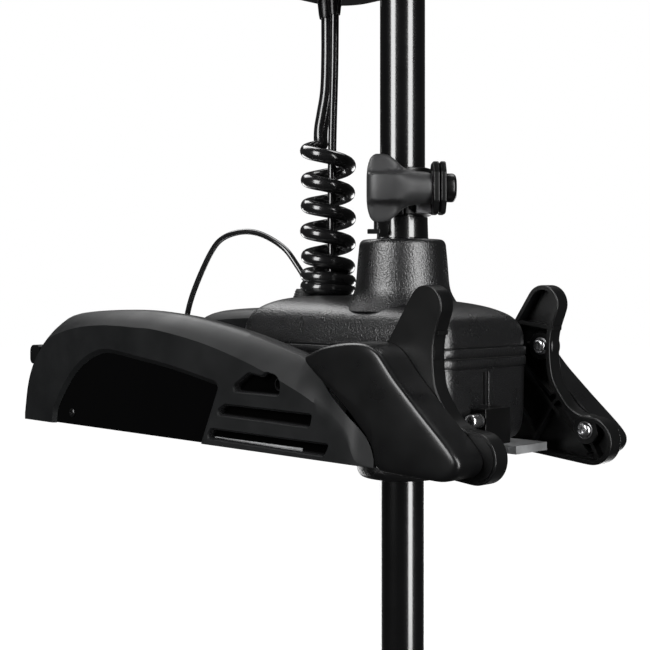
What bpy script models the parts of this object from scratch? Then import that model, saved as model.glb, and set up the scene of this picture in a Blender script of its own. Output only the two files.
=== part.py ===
"""Bow-mount electric-steer trolling motor: every solid of it.

+Z is up, +X points to the bow and +Y to port. The origin is the middle of the deck face, on the base's underside.
Shapes are drawn in millimetres about the station, the point where the shaft's axis meets the deck plane.
"""
import math

import bmesh
import bpy
from mathutils import Matrix, Vector

MM = 0.001
GAP = 0.3

# The station, and the axes that pieces turn about, as (x, y, z) from the station.
DECK_TO_SHAFT = 120.0
TILT_AXIS = (-92.0, 0.0, 35.0)
PEDAL_AXIS = (-266.0, 0.0, 24.0)

# The shaft and the tube that turns it.
SHAFT_R = 14.3
SHAFT_BORE_R = 11.9
SHAFT_LENGTH = 1143.0
SHAFT_TOP = 312.0
SHAFT_FOOT = SHAFT_TOP - SHAFT_LENGTH
TUBE_R = 16.7
TUBE_FOOT = -12.4
TUBE_TOP = 145.5

# The deck mount.
PLATE = 5.0
WALL_IN = 45.5
WALL_OUT = 49.5
COVER_OUT = 85.0
COVER_IN = 52.8
COVER_WALL = 2.5
RAMP_IN = 50.0
RAMP_OUT = 61.0
ARM_IN = 61.3
SEAM_GAP = 0.8

# The steering housing.
HOUSING_FRONT = 68.6
HOUSING_REAR = -111.0
HOUSING_HALF = 43.2
FLANGE = 1.3
SEAM_LOW = 58.5
SEAM_HIGH = 59.3
TOWER_TOP = 131.0
BOSS_R = 29.0
BOSS_FOOT = -19.0

# The steering gears.
MODULE = 1.5
OUTPUT_TEETH = 40
IDLER_SMALL_TEETH = 12
IDLER_BIG_TEETH = 24
PINION_TEETH = 10
IDLER_X = -MODULE * (OUTPUT_TEETH + IDLER_SMALL_TEETH) / 2
PINION_X = IDLER_X - MODULE * (IDLER_BIG_TEETH + PINION_TEETH) / 2

# The depth collar: its screw lies square to the radius at this bearing from the bow.
COLLAR_BEARING = math.radians(45.5)
COLLAR_Z = 161.5
SCREW_OFFSET = -31.5

# The head and the lower unit.
HEAD_FOOT = 300.0
HEAD_SEAM = 335.0
MOTOR_Z = SHAFT_FOOT - 47.0
MOTOR_R = 46.0
MOTOR_BORE_R = 42.0
MOTOR_FRONT = 74.0
MOTOR_BACK = -62.0
PROP_R = 140.0
PROP_X = -199.0

# The cords.
COIL_AT = (-78.5, 11.0)
COIL_FOOT = 100.4
COIL_TOP = 196.0
COIL_R = 19.0
COIL_BORE_R = 9.0
CORD_R = 4.9
SENSOR_CABLE_R = 2.9
HARNESS_R = 2.1
COIL_GLAND_AT = (-89.5, 0.5)
SENSOR_GLAND_AT = (-78.0, 14.0)
HEAD_COIL_AT = (-88.0, 20.5)
HEAD_SENSOR_AT = (-75.5, 14.5)
HEAD_GLAND_FOOT = 288.0

LOOKS = {
    "raw_aluminium": ((0.62, 0.63, 0.64), 0.45, 1.0),
    "cover_plastic": ((0.035, 0.037, 0.040), 0.42, 0.0),
    "gloss_panel": ((0.008, 0.008, 0.009), 0.12, 0.0),
    "arm_plastic": ((0.028, 0.028, 0.029), 0.36, 0.0),
    "ramp_plastic": ((0.022, 0.022, 0.023), 0.45, 0.0),
    "housing_textured": ((0.020, 0.020, 0.021), 0.50, 0.2),
    "shaft_black": ((0.012, 0.012, 0.013), 0.18, 0.0),
    "steel": ((0.55, 0.56, 0.57), 0.25, 1.0),
    "rubber": ((0.015, 0.015, 0.015), 0.55, 0.0),
    "cord_jacket": ((0.010, 0.010, 0.010), 0.22, 0.0),
    "bronze": ((0.50, 0.36, 0.20), 0.40, 1.0),
    "nylon": ((0.70, 0.68, 0.62), 0.50, 0.0),
    "circuit": ((0.03, 0.16, 0.07), 0.50, 0.0),
    "lens": ((0.60, 0.62, 0.64), 0.10, 0.0),
    "motor_paint": ((0.016, 0.016, 0.017), 0.28, 0.1),
    "magnet": ((0.09, 0.09, 0.10), 0.60, 0.3),
    "prop_plastic": ((0.020, 0.020, 0.020), 0.40, 0.0),
}

HOOKS = {}
HOOK_PLACES = {
    "station": (0.0, 0.0, 0.0),
    "tilt_axis": TILT_AXIS,
    "pedal_axis": PEDAL_AXIS,
    "collar_axis": (0.0, 0.0, COLLAR_Z),
    "motor_axis": (0.0, 0.0, MOTOR_Z),
    "idler_axis": (IDLER_X, 0.0, SEAM_HIGH),
    "pinion_axis": (PINION_X, 0.0, SEAM_HIGH),
}


# ---------------------------------------------------------------- helpers


def clear_scene():
    for obj in list(bpy.data.objects):
        bpy.data.objects.remove(obj, do_unlink=True)


def make_hooks():
    """Empties on the axes that pieces hang on."""
    for name, place in HOOK_PLACES.items():
        hook = bpy.data.objects.new(name, None)
        hook.location = (Vector(place) + Vector((DECK_TO_SHAFT, 0, 0))) * MM
        bpy.context.scene.collection.objects.link(hook)
        HOOKS[name] = hook


def look(name):
    """The material of that name, made once."""
    if name in bpy.data.materials:
        return bpy.data.materials[name]
    colour, roughness, metallic = LOOKS[name]
    mat = bpy.data.materials.new(name)
    mat.use_nodes = True
    shader = mat.node_tree.nodes["Principled BSDF"]
    shader.inputs["Base Color"].default_value = (*colour, 1.0)
    shader.inputs["Roughness"].default_value = roughness
    shader.inputs["Metallic"].default_value = metallic
    return mat


def place(name, bm, hook):
    """Make an object on a hook from a bmesh drawn in millimetres about the station."""
    bmesh.ops.recalc_face_normals(bm, faces=bm.faces)
    bmesh.ops.translate(bm, verts=bm.verts, vec=-Vector(HOOK_PLACES[hook]))
    bmesh.ops.scale(bm, verts=bm.verts, vec=(MM, MM, MM))
    mesh = bpy.data.meshes.new(name)
    bm.to_mesh(mesh)
    bm.free()
    obj = bpy.data.objects.new(name, mesh)
    bpy.context.scene.collection.objects.link(obj)
    obj.parent = HOOKS[hook]
    return obj


def piece(name, bm, material, hook="station"):
    """A named sub-part."""
    obj = place(name, bm, hook)
    obj.data.materials.append(look(material))
    obj.data.shade_smooth()
    obj.data.set_sharp_from_angle(angle=math.radians(35))
    return obj


def combine(obj, bm, operation, label):
    """Cut a shape out of a sub-part, or join one onto it."""
    tool = place(f"{operation.lower()}_{label}_{obj.name}", bm, obj.parent.name)
    tool.hide_render = True
    tool.display_type = "WIRE"
    modifier = obj.modifiers.new(label, "BOOLEAN")
    modifier.operation = operation
    modifier.object = tool


def cut(obj, bm, label):
    combine(obj, bm, "DIFFERENCE", label)


def join(obj, bm, label):
    combine(obj, bm, "UNION", label)


def loft(rings, closed=False):
    """A solid through rings of the same number of points; closed joins the last ring to the first."""
    bm = bmesh.new()
    grid = [[bm.verts.new(p) for p in ring] for ring in rings]
    pairs = list(zip(grid, grid[1:]))
    if closed:
        pairs.append((grid[-1], grid[0]))
    for low, high in pairs:
        for i in range(len(low)):
            j = (i + 1) % len(low)
            bm.faces.new((low[i], low[j], high[j], high[i]))
    if not closed:
        bm.faces.new(grid[0][::-1])
        bm.faces.new(grid[-1])
    return bm


def on_axis(axis, across, up, along):
    """A point from its place along an axis and its two places across it."""
    return {"X": (along, across, up), "Y": (up, along, across), "Z": (across, up, along)}[axis]


def turned(profile, axis="Z", centre=(0, 0, 0), segments=24, closed=False):
    """Turn (radius, height) points about an axis. A closed profile makes a ring, an open one has flat ends."""
    rings = []
    for radius, height in profile:
        angles = [math.tau * i / segments for i in range(segments)]
        ring = [on_axis(axis, radius * math.cos(a), radius * math.sin(a), height) for a in angles]
        rings.append([tuple(Vector(p) + Vector(centre)) for p in ring])
    return loft(rings, closed)


def rod(radius, start, end, axis="Z", centre=(0, 0, 0), segments=24):
    return turned([(radius, start), (radius, end)], axis, centre, segments)


def sleeve(inner, outer, start, end, axis="Z", centre=(0, 0, 0), segments=24):
    profile = [(outer, start), (outer, end), (inner, end), (inner, start)]
    return turned(profile, axis, centre, segments, closed=True)


def block(x, y, z):
    """A box from three (low, high) pairs."""
    corners = [(x[0], y[0]), (x[1], y[0]), (x[1], y[1]), (x[0], y[1])]
    return loft([[(a, b, h) for a, b in corners] for h in z])


def side_prism(outline, y0, y1):
    """An outline in the XZ plane, as thick as from y0 to y1."""
    return loft([[(x, y, z) for x, z in outline] for y in (y0, y1)])


def arc(cx, cy, radius, start, end, steps):
    """Points along an arc, its angles in degrees."""
    angles = [math.radians(start + (end - start) * i / steps) for i in range(steps + 1)]
    return [(cx + radius * math.cos(a), cy + radius * math.sin(a)) for a in angles]


def rounded_box_ring(rear, front, half, corner, z, steps=4):
    """A level rounded rectangle at height z."""
    points = arc(front - corner, half - corner, corner, 0, 90, steps)
    points += arc(rear + corner, half - corner, corner, 90, 180, steps)
    points += arc(rear + corner, corner - half, corner, 180, 270, steps)
    points += arc(front - corner, corner - half, corner, 270, 360, steps)
    return [(x, y, z) for x, y in points]


def along(curve, x):
    """The height of a curve at x, from its points in order of x."""
    for (x0, z0), (x1, z1) in zip(curve, curve[1:]):
        if x <= x1:
            return z0 + (z1 - z0) * max(0.0, x - x0) / (x1 - x0)
    return curve[-1][1]


def grown(outline, amount):
    """An outline moved outwards by an amount, or inwards by a negative one."""
    count = len(outline)
    area = sum(
        outline[i][0] * outline[(i + 1) % count][1] - outline[(i + 1) % count][0] * outline[i][1]
        for i in range(count)
    )
    side = 1.0 if area > 0 else -1.0
    moved = []
    for i in range(count):
        here = Vector(outline[i])
        before = (here - Vector(outline[i - 1])).normalized()
        after = (Vector(outline[(i + 1) % count]) - here).normalized()
        n0 = Vector((before.y, -before.x)) * side
        n1 = Vector((after.y, -after.x)) * side
        mitre = (n0 + n1).normalized()
        moved.append(tuple(here + mitre * amount / max(0.5, mitre.dot(n0))))
    return moved


def to_port(bm):
    """The same shape on the other side of the centre plane."""
    bmesh.ops.scale(bm, verts=bm.verts, vec=(1, -1, 1))
    return bm


def on_side(bm, side):
    return to_port(bm) if side == "left" else bm


def tube_through(points, radius, sides, name, material):
    """A cord as a curve object through a smooth route of its own."""
    curve = bpy.data.curves.new(name, "CURVE")
    curve.dimensions = "3D"
    curve.bevel_depth = radius * MM
    curve.bevel_resolution = sides
    curve.use_fill_caps = True
    curve.render_resolution_u = 0
    spline = curve.splines.new("POLY")
    spline.points.add(len(points) - 1)
    for point, place_at in zip(spline.points, points):
        point.co = (*(Vector(place_at) * MM), 1.0)
    obj = bpy.data.objects.new(name, curve)
    bpy.context.scene.collection.objects.link(obj)
    obj.parent = HOOKS["station"]
    curve.materials.append(look(material))
    return obj


def smooth_route(points, spacing):
    """A Catmull-Rom curve through the route's points, at about one spacing."""
    ends = [Vector(points[0]) * 2 - Vector(points[1])]
    ends += [Vector(p) for p in points]
    ends.append(Vector(points[-1]) * 2 - Vector(points[-2]))
    route = []
    for p0, p1, p2, p3 in zip(ends, ends[1:], ends[2:], ends[3:]):
        steps = max(1, round((p2 - p1).length / spacing))
        for i in range(steps):
            t = i / steps
            bend = (p1 * 2) + (p2 - p0) * t + (p0 * 2 - p1 * 5 + p2 * 4 - p3) * t**2
            route.append((bend + (p1 * 3 - p0 - p2 * 3 + p3) * t**3) / 2)
    route.append(Vector(points[-1]))
    return route


# ---------------------------------------------------------------- deck mount

# The side cover seen from the side: its crease, its top edge, and its front seam, as (x, z).
CREASE = [
    (-312, 4.3), (-307.7, 26), (-300.5, 41.7), (-289.1, 55), (-276.5, 63.5), (-243.6, 71.1), (-208, 73.9),
    (-170.1, 73.2), (-145.7, 72.1), (-96.6, 64.8), (-48.1, 52.9), (-6.4, 38.9), (11.7, 30.8), (24.5, 24),
    (34.2, 15.4), (40, 3.3), (53.5, 0.4),
]
TOP_EDGE = [
    (-312.6, 8.4), (-308.3, 31.2), (-296.9, 58.3), (-287, 69.3), (-267.6, 79.1), (-245.8, 82.5), (-209, 84.5),
    (-174.9, 84.8), (-145.6, 83.3), (-113.8, 80.1), (-66.6, 72.1), (-27.1, 62.4), (-12.7, 58.3),
]
SEAM = [(-11, 58.7), (1.7, 51.1), (12.7, 43.6), (32.3, 28.3), (48.5, 14.8), (53.2, 5.6), (53.5, 3.4)]
COVER_STATIONS = [
    -312, -310, -307.5, -302, -296, -289, -281, -268, -246, -222, -198, -170, -142, -112, -80, -48, -29, -12.7,
]
SKIRT_STATIONS = [-11, 1.7, 12.7, 24.5, 32.3, 40, 48.5, 53.2, 53.5]
PANEL = [
    (-272.3, -8), (-269.6, 9.7), (-259.9, 22.9), (-245, 38.1), (-227.6, 48.6), (-211.9, 53.5), (-197.8, 54.1),
    (-170.1, 51), (-130.2, 46.2), (-83.1, 38.1), (-104.6, -8),
]
KEYHOLE = [(-65.4, 35.7), (-65.4, 39.6), (-51.3, 48.1), (-38.5, 46.2), (-35.4, 49.5), (-27, 48.2), (-22.8, 43.3), (-23.8, 35.6)]
UPPER_SLOT = [(-80.9, 20), (-80.9, 23), (-74.2, 26.9), (4.7, 26.3), (2.7, 18.7)]
LOWER_SLOT = [(-90.9, 4.1), (-90.9, 7.1), (-87.6, 10.6), (18.6, 10), (14.7, 3)]


def base_extrusion():
    """Aluminium channel with a wide plate for the covers and a slot for the shaft to swing out of."""
    base = piece("base_extrusion", block((-306, -8), (-80, 80), (0, PLATE)), "raw_aluminium")
    join(base, block((-20, 75.7), (-WALL_OUT, WALL_OUT), (0, PLATE)), "tongue")
    wall = [(-286, 3), (-286, 30), (-276, 42), (20, 42), (35, 20), (35, 3)]
    join(base, side_prism(wall, WALL_IN, WALL_OUT), "left_wall")
    join(base, side_prism(wall, -WALL_OUT, -WALL_IN), "right_wall")
    cut(base, block((-40, 44), (-BOSS_R - 2.5, BOSS_R + 2.5), (-2, 7)), "boss_slot")
    cut(base, block((40, 80), (-18, 18), (-2, 7)), "shaft_slot")
    for i, x in enumerate((-288, -165, -28)):
        for side in (-1, 1):
            cut(base, rod(3.6, -2, 7, centre=(x, 66 * side, 0), segments=12), f"deck_hole_{i}_{side + 1}")
    cut(base, rod(6 + GAP, -60, 60, "Y", TILT_AXIS, 16), "tilt_hole")
    cut(base, rod(3 + GAP, -60, 60, "Y", PEDAL_AXIS, 12), "pedal_hole")


def cover_section(x):
    """The side cover's solid section at x, on the starboard side."""
    crease = along(CREASE, x)
    if x <= COVER_STATIONS[-1]:
        top = along(TOP_EDGE, x)
        points = [
            (COVER_OUT, 0), (COVER_OUT, crease), (72, top), (59, top - 1.5),
            (COVER_IN, max(top - 8, top * 0.6)), (COVER_IN, 0),
        ]
    else:
        seam = along(SEAM, x)
        lean = COVER_OUT - 2 * max(0.0, x - 38) / 15.5
        crease = min(crease, seam - 3)
        points = [(lean, 0), (lean, crease), (81.8, seam), (81.2, seam - 0.3), (80.6, seam - 0.6), (79.4, 0)]
    return [(x, -y, z) for y, z in points]


def cavity_section(x):
    """The hollow of the side cover at x."""
    crease = along(CREASE, x - 2)
    top = along(TOP_EDGE, x - 2)
    out = COVER_OUT - COVER_WALL
    points = [
        (out, -3), (out, max(crease - 1.4, -2)), (71, max(top - 2.7, -1.6)), (60, max(top - 4.2, -1.8)),
        (COVER_IN + COVER_WALL, max(top - 9, -2)), (COVER_IN + COVER_WALL, -3),
    ]
    return [(x, -y, z) for y, z in points]


def side_cover(side):
    """Hollow side cover with the recess for its panel, a keyhole and two slots."""
    stations = COVER_STATIONS + SKIRT_STATIONS
    cover = piece(f"{side}_side_cover", on_side(loft([cover_section(x) for x in stations]), side), "cover_plastic")
    hollow = [x for x in COVER_STATIONS if -308 <= x <= -28] + [-15.5]
    cut(cover, on_side(loft([cavity_section(x) for x in hollow]), side), "hollow")
    cut(cover, on_side(block((-307, -7), (-81.6, -40), (-5, PLATE + 0.5)), side), "plate_room")
    rings = []
    for y, grow in ((-87, 4.0), (-85.0, 3.0), (-82.6, 0.0), (-78, 0.0)):
        rings.append([(x, y, z) for x, z in grown(PANEL, grow)])
    cut(cover, on_side(loft(rings), side), "panel_recess")
    for label, outline in (("keyhole", KEYHOLE), ("upper_slot", UPPER_SLOT), ("lower_slot", LOWER_SLOT)):
        cut(cover, on_side(side_prism(outline, -90, -76), side), label)


def side_panel(side):
    """Plain gloss panel that backs the arched recess."""
    outline = [(x, max(z, 0.4)) for x, z in grown(PANEL, 3.0)]
    piece(f"{side}_side_panel", on_side(side_prism(outline, -82.2, -80.6), side), "gloss_panel")


ARM = [
    (-6.5, 59.6), (1, 62.4), (10, 66), (22, 68.4), (36, 69.8), (48, 69), (56, 65), (69, 50.5), (87.5, 33.5),
    (103.5, 19.5), (111.5, 12), (114, 7), (111, 0.5), (103, -3.3), (80, -2.8), (54.4, -1.8), (54.3, 6),
    (49.4, 15.2), (33.5, 29.6), (14, 44.8), (3, 52.2),
]
ARM_MIDDLE = (52.0, 28.0)
ARM_SCREWS = [(68.8, 64.1), (101.6, 14.2)]


def shrunk(outline, middle, scale):
    return [(middle[0] + (x - middle[0]) * scale, middle[1] + (z - middle[1]) * scale) for x, z in outline]


def arm_cover(side):
    """Smooth crowned shell over the arm, open on its inner side, with bosses for the ramp's screws."""
    rings = []
    for y, scale in ((ARM_IN, 0.985), (70, 1.0), (78, 1.0), (81, 0.97), (83.2, 0.86), (84.2, 0.6)):
        rings.append([(x, -y, z) for x, z in shrunk(ARM, ARM_MIDDLE, scale)])
    arm = piece(f"{side}_arm_cover", on_side(loft(rings), side), "arm_plastic")
    hollow = []
    for y, scale in ((ARM_IN - 3, 0.92), (78, 0.92), (80.8, 0.8), (81.7, 0.5)):
        hollow.append([(x, -y, z) for x, z in shrunk(ARM, ARM_MIDDLE, scale)])
    cut(arm, on_side(loft(hollow), side), "hollow")
    boss_x, boss_z = ARM_SCREWS[1]
    join(arm, on_side(rod(4.6, -ARM_IN, -79, "Y", (boss_x, 0, boss_z), 12), side), "boss")
    cut(arm, on_side(rod(3 + GAP, -ARM_IN + 3, -76.5, "Y", (boss_x, 0, boss_z), 12), side), "boss_bore")


def ramp_outline():
    """The motor ramp from the side: an ear that cradles the motor, a waist, and a round lower end."""
    points = [(2, 0), (12, 36), (41.7, 67.4)]
    points += arc(71.5, 90.3, 12, 142, -25, 7)
    points += [(79.6, 78), (77.4, 70), (77.2, 58), (79, 45.5), (83.5, 37.5), (89.8, 29.3), (95.5, 25), (101, 22.7)]
    points += arc(107, 8, 14.5, 82, -95, 6)
    points += [(65, -2.7)]
    return points


def motor_ramp(side):
    """Ramp tray: an outer wall with a rim, screw bosses and ribs, open towards the motor."""
    outline = ramp_outline()
    ramp = piece(f"{side}_motor_ramp", on_side(side_prism(outline, -RAMP_OUT, -RAMP_IN), side), "ramp_plastic")
    cut(ramp, on_side(side_prism(grown(outline, -2.6), -RAMP_OUT + 2.6, -RAMP_IN + 5), side), "tray")
    for i, (x, z) in enumerate(ARM_SCREWS):
        join(ramp, on_side(rod(8.2, -RAMP_OUT + 1, -RAMP_IN - 2.6, "Y", (x, 0, z), 16), side), f"boss_{i}")
        cut(ramp, on_side(rod(3 + GAP, -RAMP_OUT - 3, -RAMP_IN + 3, "Y", (x, 0, z), 12), side), f"bore_{i}")
    join(ramp, on_side(side_prism([(51, 80.2), (80, 77), (79.2, 74.2), (48.8, 77.4)], -59, -RAMP_IN - 1), side), "ear_rib")
    join(ramp, on_side(side_prism([(50, 62), (87, -2), (84, -3), (47.4, 60.6)], -59, -RAMP_IN - 3), side), "long_rib")


def ramp_screw(side, level, x, z, tip):
    """Button-head screw with its head on the ramp's inner side."""
    head_foot = -RAMP_IN - 2.3
    profile = [(3.0, -tip), (3.0, head_foot), (5.4, head_foot), (5.2, head_foot + 1.6), (3.0, head_foot + 3.0)]
    piece(f"{side}_{level}_ramp_screw", on_side(turned(profile, "Y", (x, 0, z), 14), side), "steel")


def tilt_pin():
    piece("tilt_pin", rod(6, -WALL_OUT - 0.4, WALL_OUT + 0.4, "Y", TILT_AXIS, 20), "steel", "tilt_axis")


def pedal_pin():
    piece("pedal_pin", rod(3, -WALL_OUT, WALL_OUT, "Y", PEDAL_AXIS, 12), "steel", "pedal_axis")


def stow_pedal():
    """Foot pedal: two arms between the covers and a wide tread behind them."""
    px, _, pz = PEDAL_AXIS
    arm = arc(px, pz, 8, -70, 100, 6) + [(-301, 52), (-309, 53), (-309, 45.5), (-301, 43.5)]
    pedal = piece("stow_pedal", side_prism(arm, -44, 44), "ramp_plastic", "pedal_axis")
    tread = arc(-306, 54, 2.5, 90, 0, 2) + arc(-306, 44.5, 2.5, 0, -90, 2) + arc(-312, 46, 4, 270, 180, 2)
    tread += arc(-311, 51.5, 5, 180, 90, 2)
    join(pedal, side_prism(tread, -78, 78), "tread")
    cut(pedal, rod(3 + GAP, -60, 60, "Y", PEDAL_AXIS, 12), "bore")
    cut(pedal, block((px - 60, px + 12), (-29.5, 29.5), (pz - 20, 49)), "middle")


def pedal_spring():
    """Torsion spring on the pedal's pin."""
    px, _, pz = PEDAL_AXIS
    coil_r, wire_r, turns, steps, sides = 6.2, 1.1, 4, 12, 6
    count = turns * steps
    rings = []
    for i in range(count + 1):
        angle = math.tau * i / steps
        out = Vector((math.cos(angle), 0, math.sin(angle)))
        middle = Vector((px, -7 + 14 * i / count, pz)) + out * coil_r
        ring = []
        for k in range(sides):
            turn = math.tau * k / sides
            ring.append(tuple(middle + out * wire_r * math.cos(turn) + Vector((0, wire_r * math.sin(turn), 0))))
        rings.append(ring)
    piece("pedal_spring", loft(rings), "steel", "pedal_axis")


def release_rod():
    """Flat rod that carries the pedal's push forward to the latch."""
    bar = piece("release_rod", block((-253, 28), (-44.9, -43.4), (10, 20)), "steel")
    cut(bar, rod(2.2, -50, -40, "Y", (-246, 0, 15), 10), "rear_eye")
    cut(bar, rod(2.2, -50, -40, "Y", (21, 0, 15), 10), "front_eye")


# ---------------------------------------------------------------- steering unit


def crowned(rings):
    """Rings whose height above the flange leans a little down towards the bow."""
    top = SEAM_HIGH + 8
    return [[(x, y, z - max(0.0, z - top) * 0.0011 * (x + 10)) for x, y, z in ring] for ring in rings]


def upper_housing():
    """Crowned cover with the tower that guides the drive tube."""
    rear, front, half = HOUSING_REAR, HOUSING_FRONT, HOUSING_HALF
    rings = [
        rounded_box_ring(rear - FLANGE, front + FLANGE, half + FLANGE, 13, SEAM_HIGH),
        rounded_box_ring(rear - FLANGE, front + FLANGE, half + FLANGE, 13, 64.6),
        rounded_box_ring(rear, front, half, 12, 65),
        rounded_box_ring(rear + 0.6, front - 0.3, half - 0.3, 12, 73),
        rounded_box_ring(rear + 2.5, front - 2, half - 2, 12, 79),
        rounded_box_ring(rear + 7, front - 6, half - 5.5, 12, 84.5),
        rounded_box_ring(rear + 13.5, front - 13, half - 11, 12, 88.5),
        rounded_box_ring(rear + 22, front - 21, half - 18, 11, 91.2),
        rounded_box_ring(rear + 34, front - 31, half - 26, 9, 93),
        rounded_box_ring(rear + 48, front - 40, half - 32, 7, 93.8),
    ]
    upper = piece("upper_housing", loft(crowned(rings)), "housing_textured", "tilt_axis")
    tower = [(36, 88), (33, 94), (30.6, 98.5), (29.6, 103), (27.6, 126), (26.6, 129.5), (24.3, TOWER_TOP)]
    join(upper, turned(tower, segments=32), "tower")
    hollow = [
        rounded_box_ring(rear + 3, front - 3, half - 3, 9, SEAM_HIGH - 4),
        rounded_box_ring(rear + 3.6, front - 3.4, half - 3.4, 9, 73),
        rounded_box_ring(rear + 7, front - 6, half - 6, 9, 79.5),
        rounded_box_ring(rear + 17, front - 16, half - 14, 9, 85.5),
        rounded_box_ring(rear + 35, front - 30, half - 25, 8, 89.5),
    ]
    cut(upper, loft(crowned(hollow)), "hollow")
    cut(upper, rod(20.8, 84, 118, segments=32), "bearing_seat")
    cut(upper, rod(TUBE_R + 0.5, 84, TOWER_TOP + 5, segments=32), "tube_bore")
    x, y = COIL_GLAND_AT
    cut(upper, rod(9.4, 80, 110, centre=(x, y, 0), segments=16), "coil_gland_hole")
    x, y = SENSOR_GLAND_AT
    cut(upper, rod(6.4, 80, 110, centre=(x, y, 0), segments=16), "sensor_gland_hole")


def lower_housing():
    """Gear case with the shaft's boss below it and the tilt bore across its rounded heel."""
    front, half = HOUSING_FRONT, HOUSING_HALF
    heel = [
        (7.5, -92, front - 7, 36), (10, -102, front - 3, 39), (16, -109, front - 0.8, 41), (26, -114, front, 42),
        (40, -116, front, 42.6), (50, -113.5, front, 43), (53.1, HOUSING_REAR - 0.5, front, half),
    ]
    rings = [rounded_box_ring(rear, bow, side, 11, z) for z, rear, bow, side in heel]
    edge = (HOUSING_REAR - FLANGE, front + FLANGE, half + FLANGE, 13)
    rings += [rounded_box_ring(*edge, 53.5), rounded_box_ring(*edge, SEAM_LOW)]
    lower = piece("lower_housing", loft(rings), "housing_textured", "tilt_axis")
    hollow = [
        rounded_box_ring(-74, 58, 34, 8, 13),
        rounded_box_ring(-97, 62, 37.5, 8, 26),
        rounded_box_ring(-99, 64, 39, 8, SEAM_LOW + 4),
    ]
    cut(lower, loft(hollow), "hollow")
    join(lower, rod(11, -41, 41, "Y", TILT_AXIS, 20), "tilt_boss")
    cut(lower, rod(6.5, -50, 50, "Y", TILT_AXIS, 20), "tilt_bore")
    for side in (-1, 1):
        cut(lower, rod(8.7, 33.7 * side, 50 * side, "Y", TILT_AXIS, 20), f"bush_seat_{side + 1}")
    join(lower, block((front - 1.6, front + 1.3), (-1.2, 2.8), (12, 51)), "front_rib")
    cut(lower, block((front - 1.8, front + 3), (-16.8, -2.9), (31, 50.5)), "trigger_recess")
    boss = [(24.5, BOSS_FOOT), (27.4, BOSS_FOOT + 2.5), (BOSS_R, BOSS_FOOT + 7), (BOSS_R, 15)]
    join(lower, turned(boss, segments=32), "shaft_boss")
    bore = [(22, BOSS_FOOT - 4), (22, -12.8), (TUBE_R + 0.5, -12.8), (TUBE_R + 0.5, 2), (21, 2), (21, 20)]
    cut(lower, turned(bore, segments=32), "stepped_bore")


def housing_gasket():
    ring = []
    low, high = SEAM_LOW + 0.25, SEAM_HIGH - 0.25
    for z, inset in ((low, 0.0), (high, 0.0), (high, 3.0), (low, 3.0)):
        ring.append(
            rounded_box_ring(
                HOUSING_REAR - 0.6 + inset, HOUSING_FRONT + 0.6 - inset, HOUSING_HALF + 0.6 - inset, 12.4 - inset, z
            )
        )
    piece("housing_gasket", loft(ring, closed=True), "rubber", "tilt_axis")


def tilt_bush(side):
    """Flanged nylon bush in the end of the tilt bore."""
    profile = [(6.35, -34), (8.4, -34), (8.4, -43.3), (10.5, -43.3), (10.5, -45.1), (6.35, -45.1)]
    piece(f"{side}_tilt_bush", on_side(turned(profile, "Y", TILT_AXIS, 16, closed=True), side), "nylon", "tilt_axis")


LATCH_AXIS = (75.4, 0.0, 23.0)


def latch():
    """Block on the front of the gear case, and the steel pin that slides in it."""
    body = piece("latch_block", block((HOUSING_FRONT + 1.7, 80), (-17, 7), (8.5, 30)), "ramp_plastic", "tilt_axis")
    cut(body, rod(4.3 + GAP, -22, 3, "Y", LATCH_AXIS, 16), "bore")
    profile = [(3.7, -26.7), (4.3, -25.9), (4.3, -7.4)]
    piece("latch_pin", turned(profile, "Y", LATCH_AXIS, 16), "steel", "tilt_axis")


def gear_ring(teeth, z, centre_x, phase):
    """A toothed outline at height z, about an axis at centre_x."""
    pitch_r = MODULE * teeth / 2
    pitch = math.tau / teeth
    points = []
    for i in range(teeth):
        for radius, share in ((-1.1, -0.27), (0.8, -0.11), (0.8, 0.11), (-1.1, 0.27)):
            angle = phase + pitch * (i + share)
            r = pitch_r + radius * MODULE
            points.append((centre_x + r * math.cos(angle), r * math.sin(angle), z))
    return points


def gear(teeth, z0, z1, centre_x, phase=0.0):
    return loft([gear_ring(teeth, z, centre_x, phase) for z in (z0, z1)])


def steering_gears():
    """Motor pinion, stepped idler and the output gear on the drive tube."""
    pinion = gear(PINION_TEETH, 60, 67.5, PINION_X, math.pi / PINION_TEETH)
    pinion = piece("motor_pinion", pinion, "steel", "pinion_axis")
    join(pinion, rod(2.5, 56.5, 61, centre=(PINION_X, 0, 0), segments=12), "shaft")
    idler = gear(IDLER_BIG_TEETH, 60, 67.5, IDLER_X)
    idler = piece("idler_gear", idler, "bronze", "idler_axis")
    small = gear(IDLER_SMALL_TEETH, 66, 79, IDLER_X, math.pi / IDLER_SMALL_TEETH)
    join(idler, small, "small_gear")
    join(idler, rod(3, 54, 82, centre=(IDLER_X, 0, 0), segments=12), "axle")
    output = piece("output_gear", gear(OUTPUT_TEETH, 70, 78, 0.0), "bronze", "collar_axis")
    cut(output, rod(TUBE_R + GAP, 60, 90, segments=32), "bore")


def steering_motor():
    profile = [(13, 21), (15, 23), (15, 54), (12, 56)]
    piece("steering_motor", turned(profile, centre=(PINION_X, 0, 0)), "motor_paint", "tilt_axis")


def tube_bearings():
    """The two plain bearings that the drive tube turns in, and the seal on the shaft."""
    inner = TUBE_R + 0.35
    piece("upper_bearing", sleeve(inner, 20.4, 104, 117.6, segments=32), "nylon", "tilt_axis")
    piece("lower_bearing", sleeve(inner, 20.7, 2.4, 12, segments=32), "nylon", "tilt_axis")
    piece("shaft_seal", sleeve(SHAFT_R + 0.35, 21.7, BOSS_FOOT + 0.6, -13.2, segments=32), "rubber", "tilt_axis")


def control_board():
    piece("control_board", block((-76, 10), (32, 33.6), (22, 56)), "circuit", "tilt_axis")


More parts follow.
